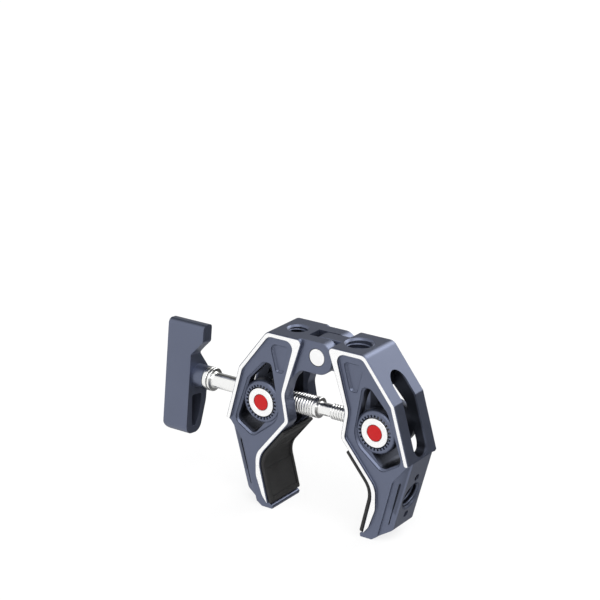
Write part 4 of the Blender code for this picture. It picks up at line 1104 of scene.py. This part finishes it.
class CLAMP_OT_trunnions(bpy.types.Operator):
    """Turn the bright rings, the red caps and the barrel nuts"""

    bl_idname = "clamp.trunnions"
    bl_label = "Trunnions"

    def execute(self, context):
        colours = look().colours
        centre = (TRUNNION_X, 0, SPINDLE_Z)
        ring_finish = turned("ring_satin", colours.bright, *BRIGHT_TURNED, centre)
        red_finish = turned("cap_red", colours.red, *RED_TURNED, centre)
        ring_bore, ring_floor = CAP_RADIUS + RING_GAP, -CAP_DEPTH - RING_FLOOR
        ring_foot = RING_LOW.y - RING_HIGH.y
        ring_profile = softened([(0, ring_floor), (ring_bore, ring_floor), (ring_bore, 0),
                                 (RING_RADIUS, 0), (RING_RADIUS, ring_foot), (0, ring_foot)],
                                *RING_ROUND)
        cap_profile = softened([(0, 0), (CAP_RADIUS, -CAP_CROWN), (CAP_RADIUS, -CAP_DEPTH),
                                (0, -CAP_DEPTH)], *CAP_ROUND)
        for name, side in SIDES:
            for place, face in FACES:
                placed = (Matrix.Translation((side * TRUNNION_X, face * RING_HIGH.y, SPINDLE_Z))
                          @ Matrix.Rotation(-face * math.pi / 2, 4, "X"))
                ring = lathe(f"{name}_{place}_ring_face", ring_profile, placed)
                seat(ring, f"{name}_jaw", "bright_ring", ring_finish, f"{name}_{place}_ring")
                cap = lathe(f"{name}_{place}_cap_face", cap_profile, placed)
                seat(cap, f"{name}_jaw", "red_anodised", red_finish, f"{name}_{place}_cap")
            nut = rounded_copy(f"{name}_nut_skin", f"{name}_barrel_nut", look().sizes.edge_round)
            seat(nut, f"{name}_nut", "turned_steel", steel_finish(), f"{name}_barrel_nut")
        return {"FINISHED"}


class CLAMP_OT_pads(bpy.types.Operator):
    """Mould the rubber pads and their ribs"""

    bl_idname = "clamp.pads"
    bl_label = "Pads"

    def execute(self, context):
        finish = rubber_finish()
        tree = rib_recipe()
        recipe = {"Radius": look().sizes.rib_radius, "Sides": RIB_SIDES, "Material": finish}
        for name, side in SIDES:
            mesh = forged(pad, side)
            mesh.shade_smooth()
            mesh.set_sharp_from_angle(angle=PAD_SHARP)
            piece = place_object(f"{name}_pad_skin", mesh)
            seat(piece, f"{name}_jaw", "rubber", finish, f"{name}_pad")
            ribs = cook(f"{name}_pad_ribs", tree, recipe, rib_paths(side))
            seat(ribs, f"{name}_jaw", "rubber", finish)
        return {"FINISHED"}


def rib_paths(side):
    """Edges for the ribs of one pad: straight down the upper flat, aslant on the lower."""
    bend = Vector(BITE)
    upper, lower = Vector(PAD_HEAD) - bend, Vector(PAD_FOOT) - bend
    top, low = upper.length - PAD_HEAD_BAR, lower.length - PAD_FOOT_BAND
    half_angle = upper.angle(lower) / 2
    upper, lower = upper.normalized(), lower.normalized()
    inward = (PAD_THICKNESS - PAD_RECESS) / math.sin(half_angle)
    meeting = bend + (upper + lower).normalized() * inward
    half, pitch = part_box("right_pad")[1].y - PAD_FRAME, look().sizes.rib_pitch
    points, edges = [], []

    def run(direction, first, last):
        for across, far in (first, last):
            place = meeting + direction * far
            points.append(Vector((place.x * side, across, place.y)))
        edges.append((len(points) - 2, len(points) - 1))

    count = int(half * 2 / pitch)
    for step in range(count):
        across = (step - (count - 1) / 2) * pitch
        run(upper, (across, RIB_START), (across, top))
    fall = 2 * half * math.tan(RIB_SLANT)
    for step in range(int((low - RIB_START + fall) / pitch)):
        level = RIB_START + step * pitch
        first, last = (-half, level), (half, level - fall)
        if first[1] > low:
            share = (first[1] - low) / (first[1] - last[1])
            first = (first[0] + (last[0] - first[0]) * share, low)
        if last[1] < RIB_START:
            share = (first[1] - RIB_START) / (first[1] - last[1]) if first[1] > last[1] else 0
            last = (first[0] + (last[0] - first[0]) * share, RIB_START)
        if last[0] - first[0] > pitch:
            run(lower, first, last)
    mesh = bpy.data.meshes.new("rib_paths")
    mesh.from_pydata(points, edges, [])
    return mesh


class CLAMP_OT_spindle(bpy.types.Operator):
    """Turn the spindle, its two threads and the washer"""

    bl_idname = "clamp.spindle"
    bl_label = "Spindle"

    def execute(self, context):
        finish = steel_finish()
        pitch = look().sizes.spindle_pitch
        tooth, small_tooth = pitch * TOOTH_SHARE, pitch * TOOTH_SHARE * SMALL_TOOTH_SHARE
        chamfer = TURNED_CHAMFER
        large_root, small_root = LARGE_THREAD_RADIUS - tooth, SMALL_THREAD_RADIUS - small_tooth
        start, end = SPINDLE_LOW.x, SPINDLE_HIGH.x
        shoulder = LARGE_END_X + SHOULDER_LENGTH
        profile = softened([
            (0, start), (TENON_RADIUS, start), (TENON_RADIUS, COLLAR_START_X),
            (COLLAR_RADIUS, COLLAR_START_X), (COLLAR_RADIUS, COLLAR_END_X),
            (NECK_RADIUS, COLLAR_END_X), (NECK_RADIUS, LARGE_START_X - chamfer),
            (large_root, LARGE_START_X), (large_root, LARGE_END_X),
            (LARGE_THREAD_RADIUS, LARGE_END_X + chamfer / 2), (LARGE_THREAD_RADIUS, shoulder),
            (WAIST_SHAFT_RADIUS, shoulder), (WAIST_SHAFT_RADIUS, SMALL_START_X),
            (small_root, SMALL_START_X + chamfer), (small_root, end - chamfer / 2),
            (small_root - chamfer, end), (0, end)], SPINDLE_ROUND)
        body = lathe("spindle_core", profile, along_x(0))
        seat(body, "spindle", "turned_steel", finish, "spindle")
        large = thread("spindle_large_thread", finish, along_x(LARGE_START_X), large_root, pitch,
                       LARGE_END_X - LARGE_START_X, tooth, right_hand=False)
        seat(large, "spindle", "turned_steel", finish)
        small = thread("spindle_small_thread", finish, along_x(SMALL_START_X + chamfer), small_root,
                       pitch, end - SMALL_START_X - pitch, small_tooth)
        seat(small, "spindle", "turned_steel", finish)
        start, end = HANDLE_HUB_X + SEAT_GAP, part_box("thrust_washer")[1].x
        bore = TENON_RADIUS + WASHER_CLEARANCE
        washer_profile = softened([(bore, start), (COLLAR_RADIUS, start), (COLLAR_RADIUS, end),
                                   (bore, end)], WASHER_ROUND)
        washer = lathe("washer_face", washer_profile, along_x(0))
        seat(washer, "washer", "turned_steel", finish, "thrust_washer")
        return {"FINISHED"}


class CLAMP_OT_handle(bpy.types.Operator):
    """Forge the key handle and seat its cap screw"""

    bl_idname = "clamp.handle"
    bl_label = "Handle"

    def execute(self, context):
        finish = anodised("handle_anodising")
        mesh = forged(handle)
        lean = Matrix.Rotation(-HANDLE_LEAN, 4, "X")
        mesh.transform(Matrix.Translation((0, 0, SPINDLE_Z)) @ lean)
        piece = rounded_piece("handle_skin", mesh, look().sizes.handle_round, 4)
        seat(piece, "spindle", "navy_anodised", finish, "handle")
        screw = rounded_copy("handle_screw_skin", "handle_screw", SCREW_ROUND)
        screw.data.transform(Matrix.Translation((HANDLE_OUTER_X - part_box("handle")[0].x, 0, 0)))
        seat(screw, "spindle", "turned_steel", steel_finish(), "handle_screw")
        return {"FINISHED"}


class CLAMP_OT_hinge(bpy.types.Operator):
    """Turn the bright hinge pin"""

    bl_idname = "clamp.hinge"
    bl_label = "Hinge pin"

    def execute(self, context):
        low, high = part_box("hinge_pin")
        radius = (high.x - low.x) / 2
        centre = ((low.x + high.x) / 2, 0, (low.z + high.z) / 2)
        finish = turned("pin_satin", look().colours.bright, *BRIGHT_TURNED, centre)
        profile = softened([(0, low.y), (radius, low.y), (radius, high.y), (0, high.y)],
                           *PIN_ROUND)
        placed = Matrix.Translation(centre) @ Matrix.Rotation(-math.pi / 2, 4, "X")
        pin = lathe("hinge_pin_face", profile, placed)
        seat(pin, "left_jaw", "bright_ring", finish, "hinge_pin")
        return {"FINISHED"}


class CLAMP_OT_stage(bpy.types.Operator):
    """Lay the pale floor, light the studio and set the camera"""

    bl_idname = "clamp.stage"
    bl_label = "Stage"

    def execute(self, context):
        make_floor()
        light_world()
        set_camera()
        context.scene.view_settings.view_transform = "Standard"
        return {"FINISHED"}


def make_floor():
    """A pale floor that goes to white, keeps the clamp's shadow and isn't mirrored in the metal."""
    shape = bmesh.new()
    bmesh.ops.create_grid(shape, x_segments=1, y_segments=1, size=FLOOR_REACH)
    bmesh.ops.translate(shape, vec=(0, 0, TOE_Z - FLOOR_GAP), verts=shape.verts)
    floor = place_object("floor", finished_mesh(shape, "floor"))
    material, bench, shader = new_finish("floor_white")
    bench.feed(shader, {"Base Color": (FLOOR_GREY, FLOOR_GREY, FLOOR_GREY, 1), "Roughness": 0.9,
                        "Specular IOR Level": 0.0})
    camera = bench.make("ShaderNodeLightPath", output="Is Camera Ray")
    glossy = Wire(bench, camera.socket.node.outputs["Is Glossy Ray"])
    glow = bench.make("ShaderNodeEmission", {}, {"Color": (1, 1, 1, 1), "Strength": 1.0})
    clear = bench.make("ShaderNodeBsdfTransparent")
    pale = bench.make("ShaderNodeMixShader", {}, {
        0: camera * look().stage.floor_glow, 1: Wire(bench, shader.outputs[0]), 2: glow})
    mixed = bench.make("ShaderNodeMixShader", {}, {0: glossy, 1: pale, 2: clear})
    bench.feed(material.node_tree.nodes["Material Output"], {"Surface": mixed})
    floor.data.materials.append(material)


def light_world():
    """A soft studio: white in front, dim behind, two soft boxes behind and a dark flag overhead."""
    world = bpy.data.worlds.new("studio")
    bpy.context.scene.world = world
    world.use_nodes = True
    bench = Bench(world.node_tree)
    levels = look().stage
    way, (across, _, height) = bench.places("Generated")

    def towards(direction, low, high):
        """1 where a ray goes near a direction, and 0 away from it."""
        near = bench.make("ShaderNodeVectorMath", {"operation": "DOT_PRODUCT"},
                          {0: way, 1: Vector(direction).normalized()}, "Value")
        return near.ramp(low, high)

    right, raised = across.ramp(*RIGHT_FADE), height.ramp(*LEFT_FADE)
    left = levels.right_level + (levels.left_level - levels.right_level) * raised
    behind = left + (levels.right_level - left) * right
    behind = behind + (levels.under_level - behind) * (0.0 - height).ramp(*UNDER_FADE)
    flag = towards(*DARK_FLAG) * levels.flag_share
    level = (behind + (levels.front_level - behind) * towards(*FRONT_LIGHT)) * (1 - flag)
    for extra, place in ((levels.key_level, KEY_BOX), (levels.hot_level, HOT_SPOT),
                         (levels.rim_level, RIM_BOX)):
        level = level + extra * towards(*place)
    camera = bench.make("ShaderNodeLightPath", output="Is Camera Ray")
    level = level * (1 - camera) + camera
    bench.feed(world.node_tree.nodes["Background"], {"Strength": level, "Color": (1, 1, 1, 1)})


def set_camera():
    """The camera of the photograph."""
    data = bpy.data.cameras.new("camera")
    data.lens, data.sensor_width = CAMERA_LENS, SENSOR_WIDTH
    data.clip_start, data.clip_end = CLIP_START, CLIP_END
    camera = place_object("camera", data)
    camera.location = CAMERA_PLACE
    camera.rotation_euler = (math.pi / 2 - CAMERA_DROP, 0, CAMERA_AZIMUTH)
    bpy.context.scene.camera = camera


class CLAMP_PT_panel(bpy.types.Panel):
    """Lists the clamp's operators and settings"""

    bl_idname = "CLAMP_PT_panel"
    bl_label = "Crab clamp"
    bl_space_type = "VIEW_3D"
    bl_region_type = "UI"
    bl_category = "Clamp"

    def draw(self, context):
        for operator in PIECE_OPERATORS:
            self.layout.operator(operator.bl_idname)
        for group in (look().colours, look().sizes, look().stage):
            box = self.layout.box()
            for setting in group.__annotations__:
                box.prop(group, setting)


PIECE_OPERATORS = (
    CLAMP_OT_jaws, CLAMP_OT_hole_threads, CLAMP_OT_trunnions, CLAMP_OT_pads, CLAMP_OT_spindle,
    CLAMP_OT_handle, CLAMP_OT_hinge, CLAMP_OT_stage,
)
CLASSES = (ClampColours, ClampSizes, StageLevels, ClampLook) + PIECE_OPERATORS + (CLAMP_PT_panel,)


def register():
    for item in CLASSES:
        bpy.utils.register_class(item)
    bpy.types.Scene.crab_clamp = PointerProperty(type=ClampLook)


def unregister():
    del bpy.types.Scene.crab_clamp
    for item in reversed(CLASSES):
        bpy.utils.unregister_class(item)


def main():
    register()
    bpy.ops.clamp.jaws()
    bpy.ops.clamp.hole_threads()
    bpy.ops.clamp.trunnions()
    bpy.ops.clamp.pads()
    bpy.ops.clamp.spindle()
    bpy.ops.clamp.handle()
    bpy.ops.clamp.hinge()
    bpy.ops.clamp.stage()


if __name__ == "__main__":
    main()
